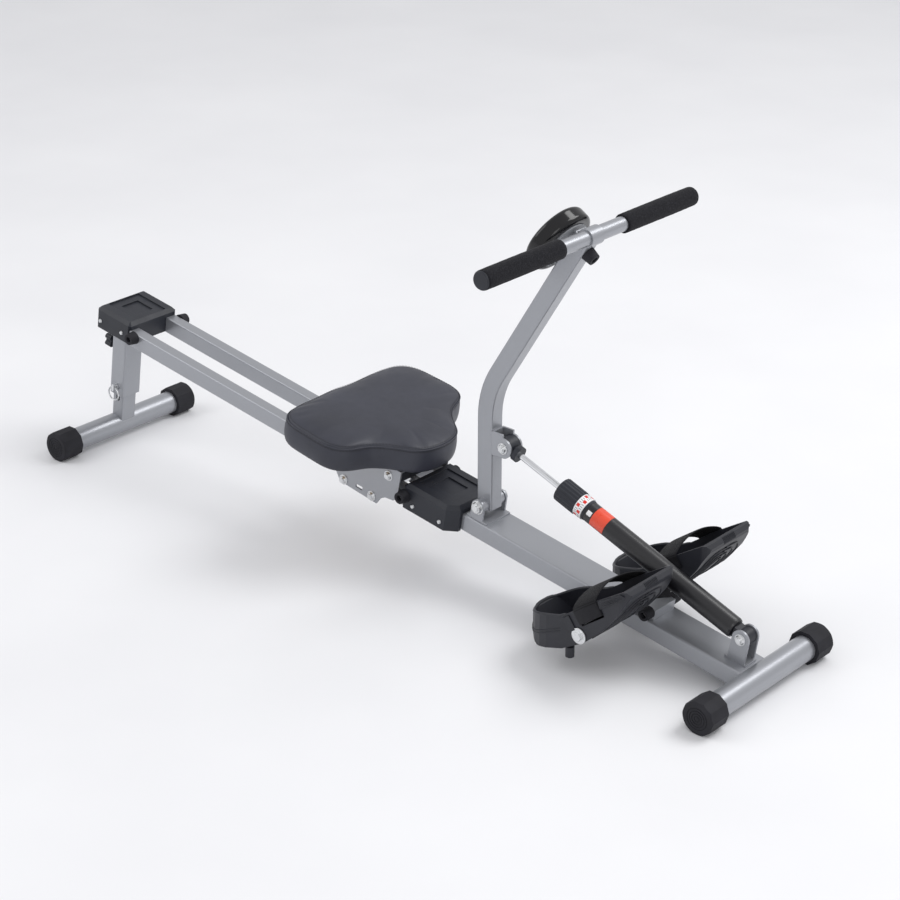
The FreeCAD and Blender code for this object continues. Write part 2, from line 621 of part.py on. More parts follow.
# ---------------------------------------------------------------- pedals
# Side outline of a pedal, (X, Z) from its axle: up the heel, along the rim to the toe and back below.
PEDAL_OUTLINE = [(-89.3, -40.8), (-108.6, -2.3), (-103.3, -5.8), (-86, 2.5), (-66, 9.7), (-37, 17.5),
                 (-25, 24.5), (-12, 34), (8, 50), (33, 67), (52, 79.5), (70, 91), (76, 91.5), (80.5, 86),
                 (79.3, 80), (64.4, 52.5), (53.5, 37.8), (36.5, 17.5), (6.7, -9.8), (-29.8, -31.2),
                 (-60.3, -40.8), (-78.3, -44.8)]
# Room for the foot: a straight sole from the heel cup to the lip at the toe, then up and over the rim.
FOOT_ROOM = [(-83.5, -35), (-65, -35), (68, 83.3), (70.5, 96), (60, 180), (-140, 60), (-110, 10),
             (-103.8, -2)]
# Hollow below the sole, open downwards behind the front wall.
UNDER_ROOM = [(-56, -70), (-56, -32.4), (62, 72.5), (71, 76), (61, 54.5), (50.5, 40.5), (33.5, 20.5),
              (3.5, -7.5), (-8, -16), (-8, -70)]


def pedal_plan(shrink):
    """Seen from above: a pedal's width, well rounded at the heel and a little at the toe."""
    low, high = size("pedal_inner_face") + shrink, size("pedal_outer_face") - shrink
    heel = (min(x for x, z in PEDAL_OUTLINE) - 0.5 + shrink, size("pedal_heel_round") - shrink, 1)
    toe = (max(x for x, z in PEDAL_OUTLINE) + 0.5 - shrink, size("pedal_toe_round") - shrink, -1)
    corners = []
    for start, side, (end, turn, way) in ((180, low, heel), (270, low, toe), (0, high, toe), (90, high, heel)):
        middle = Vector(end + way * turn, side + turn if side == low else side - turn, -100)
        corners += [middle + Rotation(Z_AXIS, start + step).multVec(Vector(turn, 0, 0))
                    for step in range(0, 91, 15)]
    return Part.Face(Part.makePolygon(corners + corners[:1])).extrude(Vector(0, 0, 400))


def pedal_shape():
    """The left pedal about its axle: a heel cup, two side walls, a sole, a front wall and a cross boss."""
    inner, outer, wall = size("pedal_inner_face"), size("pedal_outer_face"), size("pedal_wall")
    body = polygon_prism(PEDAL_OUTLINE, inner, outer).common(pedal_plan(0))
    body = body.cut(polygon_prism(FOOT_ROOM, inner + wall, outer - wall).common(pedal_plan(wall)))
    body = body.cut(polygon_prism(UNDER_ROOM, inner + wall, outer - wall).common(pedal_plan(wall)))
    body = body.fuse(Part.makeCylinder(size("pedal_boss_radius"), outer - inner, Vector(0, inner, 0), Y_AXIS))
    body = body.fuse(Part.makeCylinder(6.5, 16, Vector(-22.3, outer - 8.5, -44), Z_AXIS))
    slot = Part.makeBox(47, 2 * wall + 4, 4, Vector(0, outer - 2 * wall, -2))
    slot.Placement = Placement(Vector(3.4, 0, 17.8), Rotation(Y_AXIS, -size("strap_turn")))
    bore = Part.makeCylinder(size("axle_radius") + size("axle_fit"), outer + 10, Vector(0, 0, 0), Y_AXIS)
    return body.cut(slot).cut(bore).removeSplitter()


def strap_band(start, end, foot, rise, thickness):
    """A band over the foot: an arch between two walls, as wide as the strap."""
    middle = (start + end) / 2
    outer_arc = Part.Arc(Vector(0, start, foot), Vector(0, middle, foot + rise), Vector(0, end, foot))
    inner_arc = Part.Arc(Vector(0, start + thickness, foot), Vector(0, middle, foot + rise - thickness),
                         Vector(0, end - thickness, foot))
    ends = [Part.LineSegment(Vector(0, side, foot), Vector(0, side + turn * thickness, foot))
            for side, turn in ((start, 1), (end, -1))]
    edges = [outer_arc.toShape(), ends[1].toShape(), inner_arc.toShape(), ends[0].toShape()]
    return Part.Face(Part.Wire(Part.__sortEdges__(edges))).extrude(Vector(size("strap_width"), 0, 0))


def strap_shape():
    """The webbing over the left pedal, turned with the rim."""
    inner, outer, wall = size("pedal_inner_face"), size("pedal_outer_face"), size("pedal_wall")
    band = strap_band(inner + wall, outer - wall, -8, size("strap_rise"), size("strap_thickness"))
    band.Placement = Placement(Vector(-11, 0, 34.5), Rotation(Y_AXIS, -size("strap_turn")))
    return band


def strap_tail():
    """The free end of the right strap: it leaves the pedal's inner wall and hangs over the beam."""
    inner, thick = size("pedal_inner_face"), size("strap_thickness")
    wall_side = [Vector(30, -inner, 36), Vector(60, -inner, 54)]
    free_side = [Vector(28, 15.5 - inner, 12), Vector(73, 15.5 - inner, 32)]
    rings = []
    for near, far in (wall_side, free_side):
        lift = Vector(-0.5, 0, 0.85) * thick
        rings.append(Part.makePolygon([near, far, far + lift, near + lift, near]))
    return Part.makeLoft(rings, True, True)


def pedals():
    left = shaped(pedal_shape())
    node("pedal_left", AXLE_FRAME, left)
    node("pedal_right", AXLE_FRAME, mirrored(left))
    band = shaped(strap_shape())
    node("strap_left", AXLE_FRAME, band)
    node("strap_right", AXLE_FRAME, mirrored(band), shaped(strap_tail()))


# ---------------------------------------------------------------- seat
# Left half of the cushion's outline in the rail frame, from the rear edge to the nose.
SEAT_OUTLINE = [(520, 0), (520.5, 60), (522, 104), (529, 128), (545, 141), (575, 146), (610, 147),
                (636, 144.5), (653, 134), (663, 118), (672, 96), (688, 76), (707, 61), (723, 48),
                (734, 28), (738, 0)]
# Outline of a carriage plate in the rail frame, (X, Z).
PLATE_OUTLINE = [(577, -28), (588.9, -43.5), (665.7, -45.8), (672.4, -33.4), (681.9, -26.8), (698, -24.2),
                 (705.2, -7), (706.5, 26.5), (706.5, 29.4), (556, 29.4), (556, 20)]


def seat_outline(shrink):
    """The cushion's outline drawn inwards by some distance, as one closed ring."""
    middle = sum(x for x, y in SEAT_OUTLINE) / len(SEAT_OUTLINE)
    half = [(middle + (x - middle) * (1 - shrink / 100), y * (1 - shrink / 100)) for x, y in SEAT_OUTLINE]
    return half + [(x, -y) for x, y in reversed(half[1:-1])]


def seat():
    bottom, top = size("seat_bottom"), size("seat_top")
    cushion = spline_prism(seat_outline(0), bottom, top)
    rims = [edge for edge in cushion.Edges
            if all(min(abs(v.Z - bottom), abs(v.Z - top)) < 0.01 for v in edge.Vertexes) and edge.Length > 50
            and abs(edge.CenterOfMass.z - (bottom + top) / 2) > 5]
    cushion = cushion.makeFillet(size("seat_edge"), rims)
    recess = spline_prism(seat_outline(14), bottom - 1, size("board_top"))
    node("seat_pad", RAIL_FRAME, shaped(cushion.cut(recess)))
    node("seat_board", RAIL_FRAME,
         shaped(spline_prism(seat_outline(14), size("board_bottom"), size("board_top"))))

    inner, thick = size("plate_inner"), size("plate_thickness")
    plate = polygon_prism(PLATE_OUTLINE, inner, inner + thick)
    reach = inner - size("flange_inner") + 1
    plate = plate.fuse(Part.makeBox(150.5, reach, 2.5, Vector(556, size("flange_inner"), 26.9)))
    boss_face = size("roller_outer") + 0.3
    for along, up in ROLLER_AXLES:
        foot = Vector(value_of(along), boss_face, value_of(up))
        plate = plate.fuse(Part.makeCylinder(size("roller_boss_radius"), inner - boss_face + 1, foot, Y_AXIS))
        plate = plate.cut(Part.makeCylinder(size("roller_axle_radius") + 0.03, 20, foot, Y_AXIS))
    slot = Part.makeBox(14, 20, 6, Vector(621, inner - 5, -38))
    left = shaped(plate.cut(slot).removeSplitter())
    node("carriage_left", RAIL_FRAME, left)
    node("carriage_right", RAIL_FRAME, mirrored(left))
    node("carriage_crossbar", RAIL_FRAME, wide_box("697.5", "703.3", "plate_inner", "9", "26.5"))

    axles = [through_bolt("roller_axle_radius", "plate_inner + plate_thickness", "4", "6.6", along, up)
             for along, up in ROLLER_AXLES]
    node("roller_axles", RAIL_FRAME, *axles)


def rollers():
    names = ("rear_rollers", "front_rollers", "rear_under_rollers", "front_under_rollers")
    for label, (along, up), upper in zip(names, ROLLER_AXLES, (True, True, False, False)):
        radius = "roller_radius" if upper else "under_roller_radius"
        wheel = rod(radius, "roller_outer - roller_inner", (along, "roller_inner", up))
        bore = rod("roller_axle_radius + axle_fit", "roller_outer", (along, "roller_inner - 5", up))
        node(label, RAIL_FRAME, *both_sides(cut(wheel, bore)))


# ---------------------------------------------------------------- handle arm
def arm_path(bottom, top):
    """The arm's middle line in the arm frame: straight up, a bend forwards, and straight on."""
    bend = math.radians(size("arm_bend_angle"))
    tangent = size("arm_bend_radius") * math.tan(bend / 2)
    corner = Vector(0, 0, size("arm_bend_height"))
    ahead = Vector(math.sin(bend), 0, math.cos(bend))
    start = corner - Vector(0, 0, tangent)
    end = corner + ahead * tangent
    half = bend / 2
    centre = Vector(size("arm_bend_radius"), 0, start.z)
    mid = centre + Vector(-math.cos(half), 0, math.sin(half)) * size("arm_bend_radius")
    curves = [Part.LineSegment(Vector(0, 0, bottom), start), Part.Arc(start, mid, end),
              Part.LineSegment(end, corner + ahead * top)]
    return Part.Wire([curve.toShape() for curve in curves])


def swept_bar(half_depth, half_width, bottom, top):
    """A rectangular bar along the arm's middle line."""
    corners = [Vector(x * half_depth, y * half_width, bottom)
               for x, y in ((-1, -1), (1, -1), (1, 1), (-1, 1))]
    profile = Part.makePolygon(corners + corners[:1])
    return arm_path(bottom, top).makePipeShell([profile], True, True)


def handle_arm():
    half_depth, half_width, wall = size("arm_depth") / 2, size("arm_width") / 2, size("arm_wall")
    outer = swept_bar(half_depth, half_width, size("arm_foot"), size("arm_top"))
    long_edges = [edge for edge in outer.Edges
                  if abs(abs(edge.CenterOfMass.y) - half_width) < 0.01 and edge.Length > 35]
    outer = outer.makeFillet(size("arm_corner"), long_edges)
    inner = swept_bar(half_depth - wall, half_width - wall, size("arm_foot") - 1, size("arm_top") + 1)
    pivot = Part.makeCylinder(size("pivot_tube_radius"), 2 * size("pivot_tube_half"),
                              Vector(0, -size("pivot_tube_half"), 0), Y_AXIS)
    bore = Part.makeCylinder(size("pivot_bolt_radius") + size("axle_fit"), 80, Vector(0, -40, 0), Y_AXIS)
    bend = Placement(Vector(0, 0, size("arm_bend_height")), Rotation(Y_AXIS, size("arm_bend_angle")))
    bar_centre = bend.multVec(Vector(size("bar_forward"), -40, size("bar_height")))
    cope = Part.makeCylinder(size("saddle_radius") + 0.02, 80, bar_centre, Y_AXIS)
    screw_at = bend.multVec(Vector(half_depth - 5, 0, size("arm_bumper_height")))
    screw_hole = Part.makeCylinder(size("screw_radius") + 0.03, 10, screw_at,
                                   bend.Rotation.multVec(X_AXIS))
    tube = outer.cut(inner).fuse(pivot).cut(bore).cut(cope).cut(screw_hole).removeSplitter()
    node("arm_tube", ARM_FRAME, shaped(tube))

    at = ("bar_forward", "bar_height")
    bar = cut(cross_rod("bar_radius", "bar_half_length", *at),
              cross_rod("bar_radius - bar_wall", "bar_half_length + 1", *at))
    node("handlebar_tube", UPPER_FRAME, bar)
    saddle = cut(cross_rod("saddle_radius", "saddle_half", *at),
                 cross_rod("bar_radius + 0.02", "saddle_half + 1", *at))
    node("bar_saddle", UPPER_FRAME, saddle)
    grip = cut(rod("grip_radius", "bar_half_length - grip_start", (at[0], "grip_start", at[1])),
               rod("bar_radius + 0.02", "bar_half_length", (at[0], "grip_start - 1", at[1])))
    node("foam_grips", UPPER_FRAME, *both_sides(grip))
    plug = fuse(rod("bar_radius - bar_wall - 0.02", "12", (at[0], "bar_half_length - 11.5", at[1])),
                cone("grip_radius - 0.6", "grip_radius - 2.2", "plug_end - bar_half_length",
                     (at[0], "bar_half_length", at[1])))
    node("bar_end_plugs", UPPER_FRAME, *both_sides(plug))

    face = "arm_depth / 2"
    outside = cone("bumper_radius", "bumper_face_radius", "bumper_length",
                   (face, 0, "arm_bumper_height"), "X")
    recess = rod("bumper_recess_radius", "bumper_length",
                 (f"{face} + bumper_length - bumper_recess_depth", 0, "arm_bumper_height"), "X")
    stud = rod("screw_radius", "6", (f"{face} - 4.5", 0, "arm_bumper_height"), "X")
    node("arm_bumper", UPPER_FRAME, fuse(cut(outside, recess), stud))


def rod_bracket():
    """Two ears on the front of the arm that hold the eye of the cylinder's rod."""
    outer = "ear_inner + ear_plate"
    ears = fuse(cross_rod("ear_radius", outer, "eye_forward", "eye_height"),
                wide_box("arm_depth / 2", "eye_forward", outer, "eye_height - ear_radius",
                         "eye_height + ear_radius + 6"))
    gap = wide_box("arm_depth / 2 + 3", "eye_forward + 2 * ear_radius", "ear_inner",
                   "eye_height - 2 * ear_radius", "eye_height + 2 * ear_radius")
    bore = cross_rod("bolt_radius + 0.03", f"{outer} + 1", "eye_forward", "eye_height")
    node("rod_bracket", ARM_FRAME, cut(ears, gap, bore))
    node("rod_pin", ARM_FRAME,
         through_bolt("bolt_radius", outer, "bolt_head", "7.2", "eye_forward", "eye_height"))


def monitor():
    """A round display on the rower's side of the upper arm, its face square to the arm."""
    at = ("monitor_back - monitor_thickness", 0, "monitor_height")
    disc = rod("monitor_radius", "monitor_thickness - 2", at, "X")
    doc.recompute()
    rims = [(index, size("monitor_edge"), size("monitor_edge"))
            for index, edge in enumerate(disc.Shape.Edges, 1) if len(edge.Vertexes) == 1]
    case = doc.addObject("Part::Fillet", "case")
    case.Base = disc
    case.Edges = rims
    recess = rod("lens_radius + 0.05", "2.4",
                 ("monitor_back - monitor_thickness - 0.4", 0, "monitor_height"), "X")
    well = rod("button_radius + 0.3", "6",
               ("monitor_back - monitor_thickness - 1", 0, "button_height"), "X")
    node("monitor_case", UPPER_FRAME, cut(case, recess, well))
    node("monitor_lens", UPPER_FRAME, rod("lens_radius", "2", at, "X"))
    back = rod("monitor_radius - 12", "2", ("monitor_back - 2", 0, "monitor_height"), "X")
    foot = wide_box("monitor_back - 0.5", "-arm_depth / 2", "arm_width / 2 - 1", "monitor_height - 26",
                    "monitor_height + 22")
    node("monitor_mount", UPPER_FRAME, fuse(back, foot))
    button = rod("button_radius", "button_proud + 2.6",
                 ("monitor_back - monitor_thickness - button_proud", 0, "button_height"), "X")
    node("monitor_button", UPPER_FRAME, button)


# ---------------------------------------------------------------- hydraulic cylinder
def standing(radius, start, end):
    """A cylinder round the axis of the hydraulic cylinder, between two distances from its lower pin."""
    return rod(radius, f"({end}) - ({start})", (0, 0, start), "Z")


def hydraulic_cylinder():
    body = new_body("cylinder_tube", CYLINDER_FRAME)
    wall = [("0", "cylinder_foot"), ("cylinder_radius - 4", "cylinder_foot"),
            ("cylinder_radius - 1.2", "cylinder_foot + 1.2"), ("cylinder_radius", "cylinder_foot + 4"),
            ("cylinder_radius", "cylinder_top"), ("cylinder_bore", "cylinder_top"),
            ("cylinder_bore", "cylinder_foot + 5"), ("0", "cylinder_foot + 5")]
    turned = body.newObject("PartDesign::Revolution", "turned")
    turned.Profile = body_sketch(body, "XZ_Plane", "wall", wall)
    turned.ReferenceAxis = (turned.Profile[0], ["V_Axis"])
    turned.Angle = 360
    doc.recompute()

    eye = fuse(cross_rod("eye_outer_radius", "clevis_inner - 0.3", 0, 0),
               wide_box("-8", "8", "clevis_inner - 1", "0", "cylinder_foot"))
    node("cylinder_eye", CYLINDER_FRAME, cut(eye, cross_rod("bolt_radius + bolt_fit", "20", 0, 0)))
    gland = fuse(standing("cylinder_bore - 0.02", "gland_bottom", "cylinder_top + 1"),
                 standing("cylinder_radius + 0.4", "cylinder_top", "gland_flange_top"),
                 standing("gland_stub_radius", "cylinder_top", "knob_top - 3.4"))
    node("gland", CYLINDER_FRAME, cut(gland, standing("gland_bore", "gland_bottom - 1", "knob_top")))
    scale = standing("scale_radius", "gland_flange_top", "scale_top")
    node("scale_ring", CYLINDER_FRAME,
         cut(scale, standing("gland_stub_radius + 0.02", "gland_flange_top - 1", "scale_top + 1")))
    label = cut(standing("cylinder_radius + 0.3", "label_start", "label_end"),
                standing("cylinder_radius + 0.02", "label_start - 1", "label_end + 1"))
    window = box("40", "40", "80", (-8, -32, "label_start - 20"))
    node("label_band", CYLINDER_FRAME, common(label, window))

    grip = [standing("knob_radius - 0.9", "scale_top + 0.4", "knob_top")]
    for number in range(int(size("knob_ribs"))):
        turn = f"{number} * 360 deg / knob_ribs"
        grip.append(rod("1.9", "knob_top - scale_top - 1.4",
                        (f"(knob_radius - 1.9) * cos({turn})", f"(knob_radius - 1.9) * sin({turn})",
                         "scale_top + 0.9"), "Z"))
    knob = cut(fuse(*grip), standing("gland_stub_radius + 0.3", "scale_top", "knob_top - 3"),
               standing("gland_bore", "scale_top", "knob_top + 1"))
    node("resistance_knob", CYLINDER_FRAME, knob)

    far = f"{PIN_DISTANCE}"
    node("piston_rod", CYLINDER_FRAME, standing("rod_radius", "piston_at + piston_length", f"{far} - 24"))
    node("piston", CYLINDER_FRAME, standing("piston_radius", "piston_at", "piston_at + piston_length"))
    eye_end = fuse(cross_rod("rod_end_radius", "rod_end_half_width", 0, far),
                   standing("8", f"{far} - 18", far),
                   standing("rod_flange_radius", f"{far} - 24", f"{far} - 16"))
    hole = cross_rod("bolt_radius + bolt_fit", "20", 0, far)
    node("rod_end_eye", CYLINDER_FRAME, cut(eye_end, hole))


# ---------------------------------------------------------------- build
def flat(point):
    """A point of the row's middle plane in the rail frame, as two expressions."""
    local = RAIL_FRAME.inverse().multVec(point)
    return (str(local.x), str(local.z))


FRONT_FOOT = flat(Vector(size("half_stance"), 0, size("cap_apothem")))
REAR_FOOT = flat(Vector(-size("half_stance"), 0, size("cap_apothem")))
REAR_SCREWS = [("25", "-11.5"), ("77", "-11.3")]
FRONT_SCREWS = [("733.5", "-18.5"), ("787.6", "-18.1")]
SIDE_SCREWS = REAR_SCREWS + FRONT_SCREWS
REAR_BUMPER = ("rear_bumper_along", "bumper_drop")
FRONT_BUMPER = ("front_bumper_along", "bumper_drop")
BUMPER_SCREWS = [REAR_BUMPER, FRONT_BUMPER]
ROLLER_AXLES = [("rear_roller", "roller_height"), ("front_roller", "roller_height"),
                ("rear_under_roller", "under_roller_drop"), ("front_under_roller", "under_roller_drop")]


def check_and_export():
    doc.recompute()
    faults = []
    for item in doc.Objects:
        if {"Invalid", "Error"} & set(item.State):
            faults.append(f"{item.Label}: {item.State}")
    for item in NODES:
        if item.Shape.isNull() or not item.Shape.isValid() or not item.Shape.Solids:
            faults.append(f"{item.Label}: no valid solid")
    if faults:
        raise RuntimeError("; ".join(faults))
    os.makedirs("parts", exist_ok=True)
    for item in NODES:
        item.Shape.exportStep(f"parts/{item.Label}.step")
        print(item.Label, len(item.Shape.Solids), round(item.Shape.Volume))


foot_tube("front_foot_tube", Placement(Vector(size("half_stance"), 0, size("cap_apothem")), Rotation()))
foot_tube("rear_foot_tube", Placement(Vector(-size("half_stance"), 0, size("cap_apothem")), Rotation()))
foot_caps("front_foot_caps", Placement(Vector(size("half_stance"), 0, size("cap_apothem")), Rotation()))
foot_caps("rear_foot_caps", Placement(Vector(-size("half_stance"), 0, size("cap_apothem")), Rotation()))
slide_rails()
main_beam()
housings()
rubber_stops()
rear_leg()
clamp_knob()
brackets()
pedals()
seat()
rollers()
handle_arm()
rod_bracket()
monitor()
hydraulic_cylinder()
check_and_export()
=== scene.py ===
"""Looks for the rowing machine: materials on the CAD nodes, and the soft and fine pieces around them."""
import json
import math
import random

import bmesh
import bpy
import numpy as np
from mathutils import Matrix, Vector
from mathutils.bvhtree import BVHTree


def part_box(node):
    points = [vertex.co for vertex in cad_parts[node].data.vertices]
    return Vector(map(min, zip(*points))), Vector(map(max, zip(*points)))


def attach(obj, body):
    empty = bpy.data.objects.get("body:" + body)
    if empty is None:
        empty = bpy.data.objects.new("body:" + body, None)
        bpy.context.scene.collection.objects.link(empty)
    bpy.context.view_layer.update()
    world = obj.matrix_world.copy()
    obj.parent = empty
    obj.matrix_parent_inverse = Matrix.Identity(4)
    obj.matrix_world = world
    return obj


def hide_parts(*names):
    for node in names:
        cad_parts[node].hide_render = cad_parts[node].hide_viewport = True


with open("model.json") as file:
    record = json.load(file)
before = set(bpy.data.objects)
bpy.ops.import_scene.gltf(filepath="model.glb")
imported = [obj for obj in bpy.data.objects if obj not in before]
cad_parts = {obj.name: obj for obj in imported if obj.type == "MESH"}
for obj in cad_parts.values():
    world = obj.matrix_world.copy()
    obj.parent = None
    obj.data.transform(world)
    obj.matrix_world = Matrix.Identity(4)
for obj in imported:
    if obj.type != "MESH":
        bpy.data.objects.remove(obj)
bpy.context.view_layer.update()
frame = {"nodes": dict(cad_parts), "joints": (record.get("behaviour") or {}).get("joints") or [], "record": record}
NODES = frame["nodes"]
JOINTS = {joint["name"]: joint for joint in frame["joints"]}
MM = 0.001
ACROSS = Vector((0, 1, 0))


# ---------------------------------------------------------------- frames of the machine
def frame_matrix(along, origin):
    """A frame with X along one direction in the machine's middle plane and Y across it."""
    x_axis = Vector(along).normalized()
    z_axis = x_axis.cross(ACROSS).normalized()
    matrix = Matrix((x_axis, ACROSS, z_axis)).transposed().to_4x4()
    matrix.translation = Vector(origin)
    return matrix


RAIL = frame_matrix(JOINTS["seat_slide"]["axis"], (0, 0, 0))
AXLE = Matrix.Translation(Vector(JOINTS["right_pedal_swing"]["pos_m"]))
CLEVIS = Vector(JOINTS["cylinder_swing"]["pos_m"])
CYLINDER = frame_matrix(JOINTS["resistance_turn"]["axis"], CLEVIS)


def in_frame(matrix, node):
    """Lowest and highest corners of a CAD node in one of the frames."""
    back = matrix.inverted()
    points = [back @ vertex.co for vertex in NODES[node].data.vertices]
    low = Vector([min(point[axis] for point in points) for axis in range(3)])
    high = Vector([max(point[axis] for point in points) for axis in range(3)])
    return low, high


# ---------------------------------------------------------------- materials
class Shader:
    """A material whose nodes are added one by one and joined to its Principled shader."""

    def __init__(self, name, roughness, metallic=0.0, **fixed):
        self.material = bpy.data.materials.new(name)
        self.material.use_nodes = True
        self.tree = self.material.node_tree
        self.shader = self.tree.nodes["Principled BSDF"]
        self.shader.inputs["Roughness"].default_value = roughness
        self.shader.inputs["Metallic"].default_value = metallic
        for socket, value in fixed.items():
            self.shader.inputs[socket.replace("_", " ")].default_value = value
        self.coordinates = self.tree.nodes.new("ShaderNodeTexCoord").outputs["Object"]
        self.height = None

    def add(self, kind, **settings):
        node = self.tree.nodes.new("ShaderNode" + kind)
        for key, value in settings.items():
            if key in node.inputs:
                node.inputs[key].default_value = value
            else:
                setattr(node, key, value)
        return node

    def join(self, output, target):
        self.tree.links.new(output, target)

    def stretched(self, scale):
        """Object coordinates scaled by a factor for each axis."""
        mapping = self.add("Mapping")
        mapping.inputs["Scale"].default_value = scale
        self.join(self.coordinates, mapping.inputs["Vector"])
        return mapping.outputs["Vector"]

    def noise(self, scale, detail=3.0, stretch=(1, 1, 1)):
        texture = self.add("TexNoise", Scale=scale, Detail=detail)
        self.join(self.stretched(stretch), texture.inputs["Vector"])
        return texture.outputs["Fac"]

    def cells(self, scale, feature="F1", stretch=(1, 1, 1)):
        texture = self.add("TexVoronoi", feature=feature)
        texture.inputs["Scale"].default_value = scale
        self.join(self.stretched(stretch), texture.inputs["Vector"])
        return texture.outputs["Distance"]

    def wave(self, scale, direction, distortion=0.0):
        texture = self.add("TexWave", bands_direction=direction)
        texture.inputs["Scale"].default_value = scale
        texture.inputs["Distortion"].default_value = distortion
        self.join(self.coordinates, texture.inputs["Vector"])
        return texture.outputs["Fac"]

    def ramp(self, factor, stops):
        ramp = self.add("ValToRGB").color_ramp
        while len(ramp.elements) < len(stops):
            ramp.elements.new(0.5)
        for element, (position, colour) in zip(ramp.elements, stops):
            element.position = position
            element.color = (*colour, 1) if len(colour) == 3 else colour
        node = self.tree.nodes[-1]
        self.join(factor, node.inputs["Fac"])
        return node.outputs["Color"]

    def colours(self, factor, stops):
        self.join(self.ramp(factor, stops), self.shader.inputs["Base Color"])

    def roughness(self, factor, low, high):
        change = self.add("MapRange")
        change.inputs["To Min"].default_value = low
        change.inputs["To Max"].default_value = high
        self.join(factor, change.inputs["Value"])
        self.join(change.outputs["Result"], self.shader.inputs["Roughness"])

    def bump(self, factor, distance, strength=1.0):
        """Relief of some height in metres, on top of the relief that is already there."""
        node = self.add("Bump")
        node.inputs["Distance"].default_value = distance
        node.inputs["Strength"].default_value = strength
        self.join(factor, node.inputs["Height"])
        if self.height is None:
            bevel = self.add("Bevel", samples=4)
            bevel.inputs["Radius"].default_value = 0.6 * MM
            self.height = bevel.outputs["Normal"]
        self.join(self.height, node.inputs["Normal"])
        self.height = node.outputs["Normal"]
        self.join(self.height, self.shader.inputs["Normal"])


def painted(name, tone, metallic=0.55, roughness=0.33):
    """Satin metallic paint: tiny flakes, a faint orange peel and cloudy gloss."""
    made = Shader(name, roughness, metallic, Coat_Weight=0.25, Coat_Roughness=0.22)
    flakes = made.cells(2600)
    dark = tuple(part * 0.93 for part in tone)
    light = tuple(min(1, part * 1.05) for part in tone)
    made.colours(flakes, [(0.1, dark), (0.8, light)])
    made.roughness(made.noise(38, 4), roughness - 0.05, roughness + 0.07)
    made.bump(made.noise(420, 2), 0.05 * MM, 0.35)
    made.bump(made.noise(18, 2), 0.3 * MM, 0.12)
    return made.material


def plastic(name, tone, roughness=0.5, grain=0.045, grain_scale=1500):
    """Moulded plastic with a fine spark-eroded grain and slightly uneven gloss."""
    made = Shader(name, roughness, 0.0, Specular_IOR_Level=0.42)
    dark = tuple(part * 0.88 for part in tone)
    light = tuple(min(1, part * 1.14) for part in tone)
    made.colours(made.noise(26, 5), [(0.3, dark), (0.7, light)])
    made.roughness(made.noise(55, 4), roughness - 0.07, roughness + 0.08)
    made.bump(made.cells(grain_scale), grain * MM, 0.5)
    return made.material


def rubber(name, tone):
    made = Shader(name, 0.72, 0.0, Specular_IOR_Level=0.3)
    dark = tuple(part * 0.8 for part in tone)
    light = tuple(part * 1.3 for part in tone)
    made.colours(made.noise(60, 6), [(0.3, dark), (0.72, light)])
    made.roughness(made.noise(120, 3), 0.6, 0.82)
    made.bump(made.noise(900, 3), 0.06 * MM, 0.6)
    return made.material


def foam(name):
    """Closed-cell foam: open pits all over, with painted shade that darkens each pit towards its bottom and leaves
    its rim lighter.
    """
    made = Shader(name, 0.9, 0.0, Specular_IOR_Level=0.12, Sheen_Weight=0.04, Sheen_Roughness=0.6)
    pits = made.cells(520)
    # Painted shade: the colour follows the depth of the pits, darkest at the bottom of each pit and lightest at
    # its rim.
    made.colours(pits, [(0.05, (0.003, 0.003, 0.004)), (0.5, (0.011, 0.011, 0.014)),
                        (0.95, (0.020, 0.020, 0.024))])
    made.roughness(made.noise(90, 3), 0.82, 0.96)
    made.bump(pits, 0.35 * MM, 0.8)
    made.bump(made.noise(60, 3), 0.5 * MM, 0.3)
    return made.material


def vinyl(name, tone):
    """Upholstery vinyl: pebbled grain, soft creases and a light sheen."""
    made = Shader(name, 0.48, 0.0, Specular_IOR_Level=0.42, Coat_Weight=0.06, Coat_Roughness=0.4)
    dark = tuple(part * 0.82 for part in tone)
    light = tuple(part * 1.18 for part in tone)
    made.colours(made.noise(14, 5), [(0.3, dark), (0.7, light)])
    made.roughness(made.noise(70, 4), 0.4, 0.56)
    made.bump(made.cells(950, "SMOOTH_F1"), 0.10 * MM, 0.55)
    made.bump(made.noise(150, 4), 0.12 * MM, 0.35)
    made.bump(made.noise(20, 3), 0.9 * MM, 0.18)
    return made.material


def metal(name, tone, roughness, streak=(1, 1, 1), depth=0.02):
    """Bare or plated metal with drawn streaks."""
    made = Shader(name, roughness, 1.0)
    made.colours(made.noise(45, 4, streak), [(0.3, tuple(c * 0.9 for c in tone)), (0.7, tone)])
    made.roughness(made.noise(260, 4, streak), max(0.03, roughness - 0.05), roughness + 0.09)
    made.bump(made.noise(700, 3, streak), depth * MM, 0.4)
    return made.material


def webbing(name):
    """Woven webbing: ribs across and along, dull black."""
    made = Shader(name, 0.85, 0.0, Specular_IOR_Level=0.18, Sheen_Weight=0.04, Sheen_Roughness=0.5)
    weft = made.wave(330, "Y")
    warp = made.wave(330, "X", 1.5)
    made.colours(weft, [(0.2, (0.004, 0.004, 0.005)), (0.8, (0.016, 0.016, 0.019))])
    made.roughness(made.noise(200, 3), 0.75, 0.92)
    made.bump(weft, 0.25 * MM, 0.7)
    made.bump(warp, 0.25 * MM, 0.7)
    return made.material


def label(name, tone):
    """Glossy printed film."""
    made = Shader(name, 0.28, 0.0, Coat_Weight=0.4, Coat_Roughness=0.12)
    made.colours(made.noise(40, 3), [(0.3, tuple(c * 0.9 for c in tone)), (0.7, tone)])
    made.roughness(made.noise(90, 3), 0.22, 0.36)
    made.bump(made.noise(300, 2), 0.02 * MM, 0.4)
    return made.material


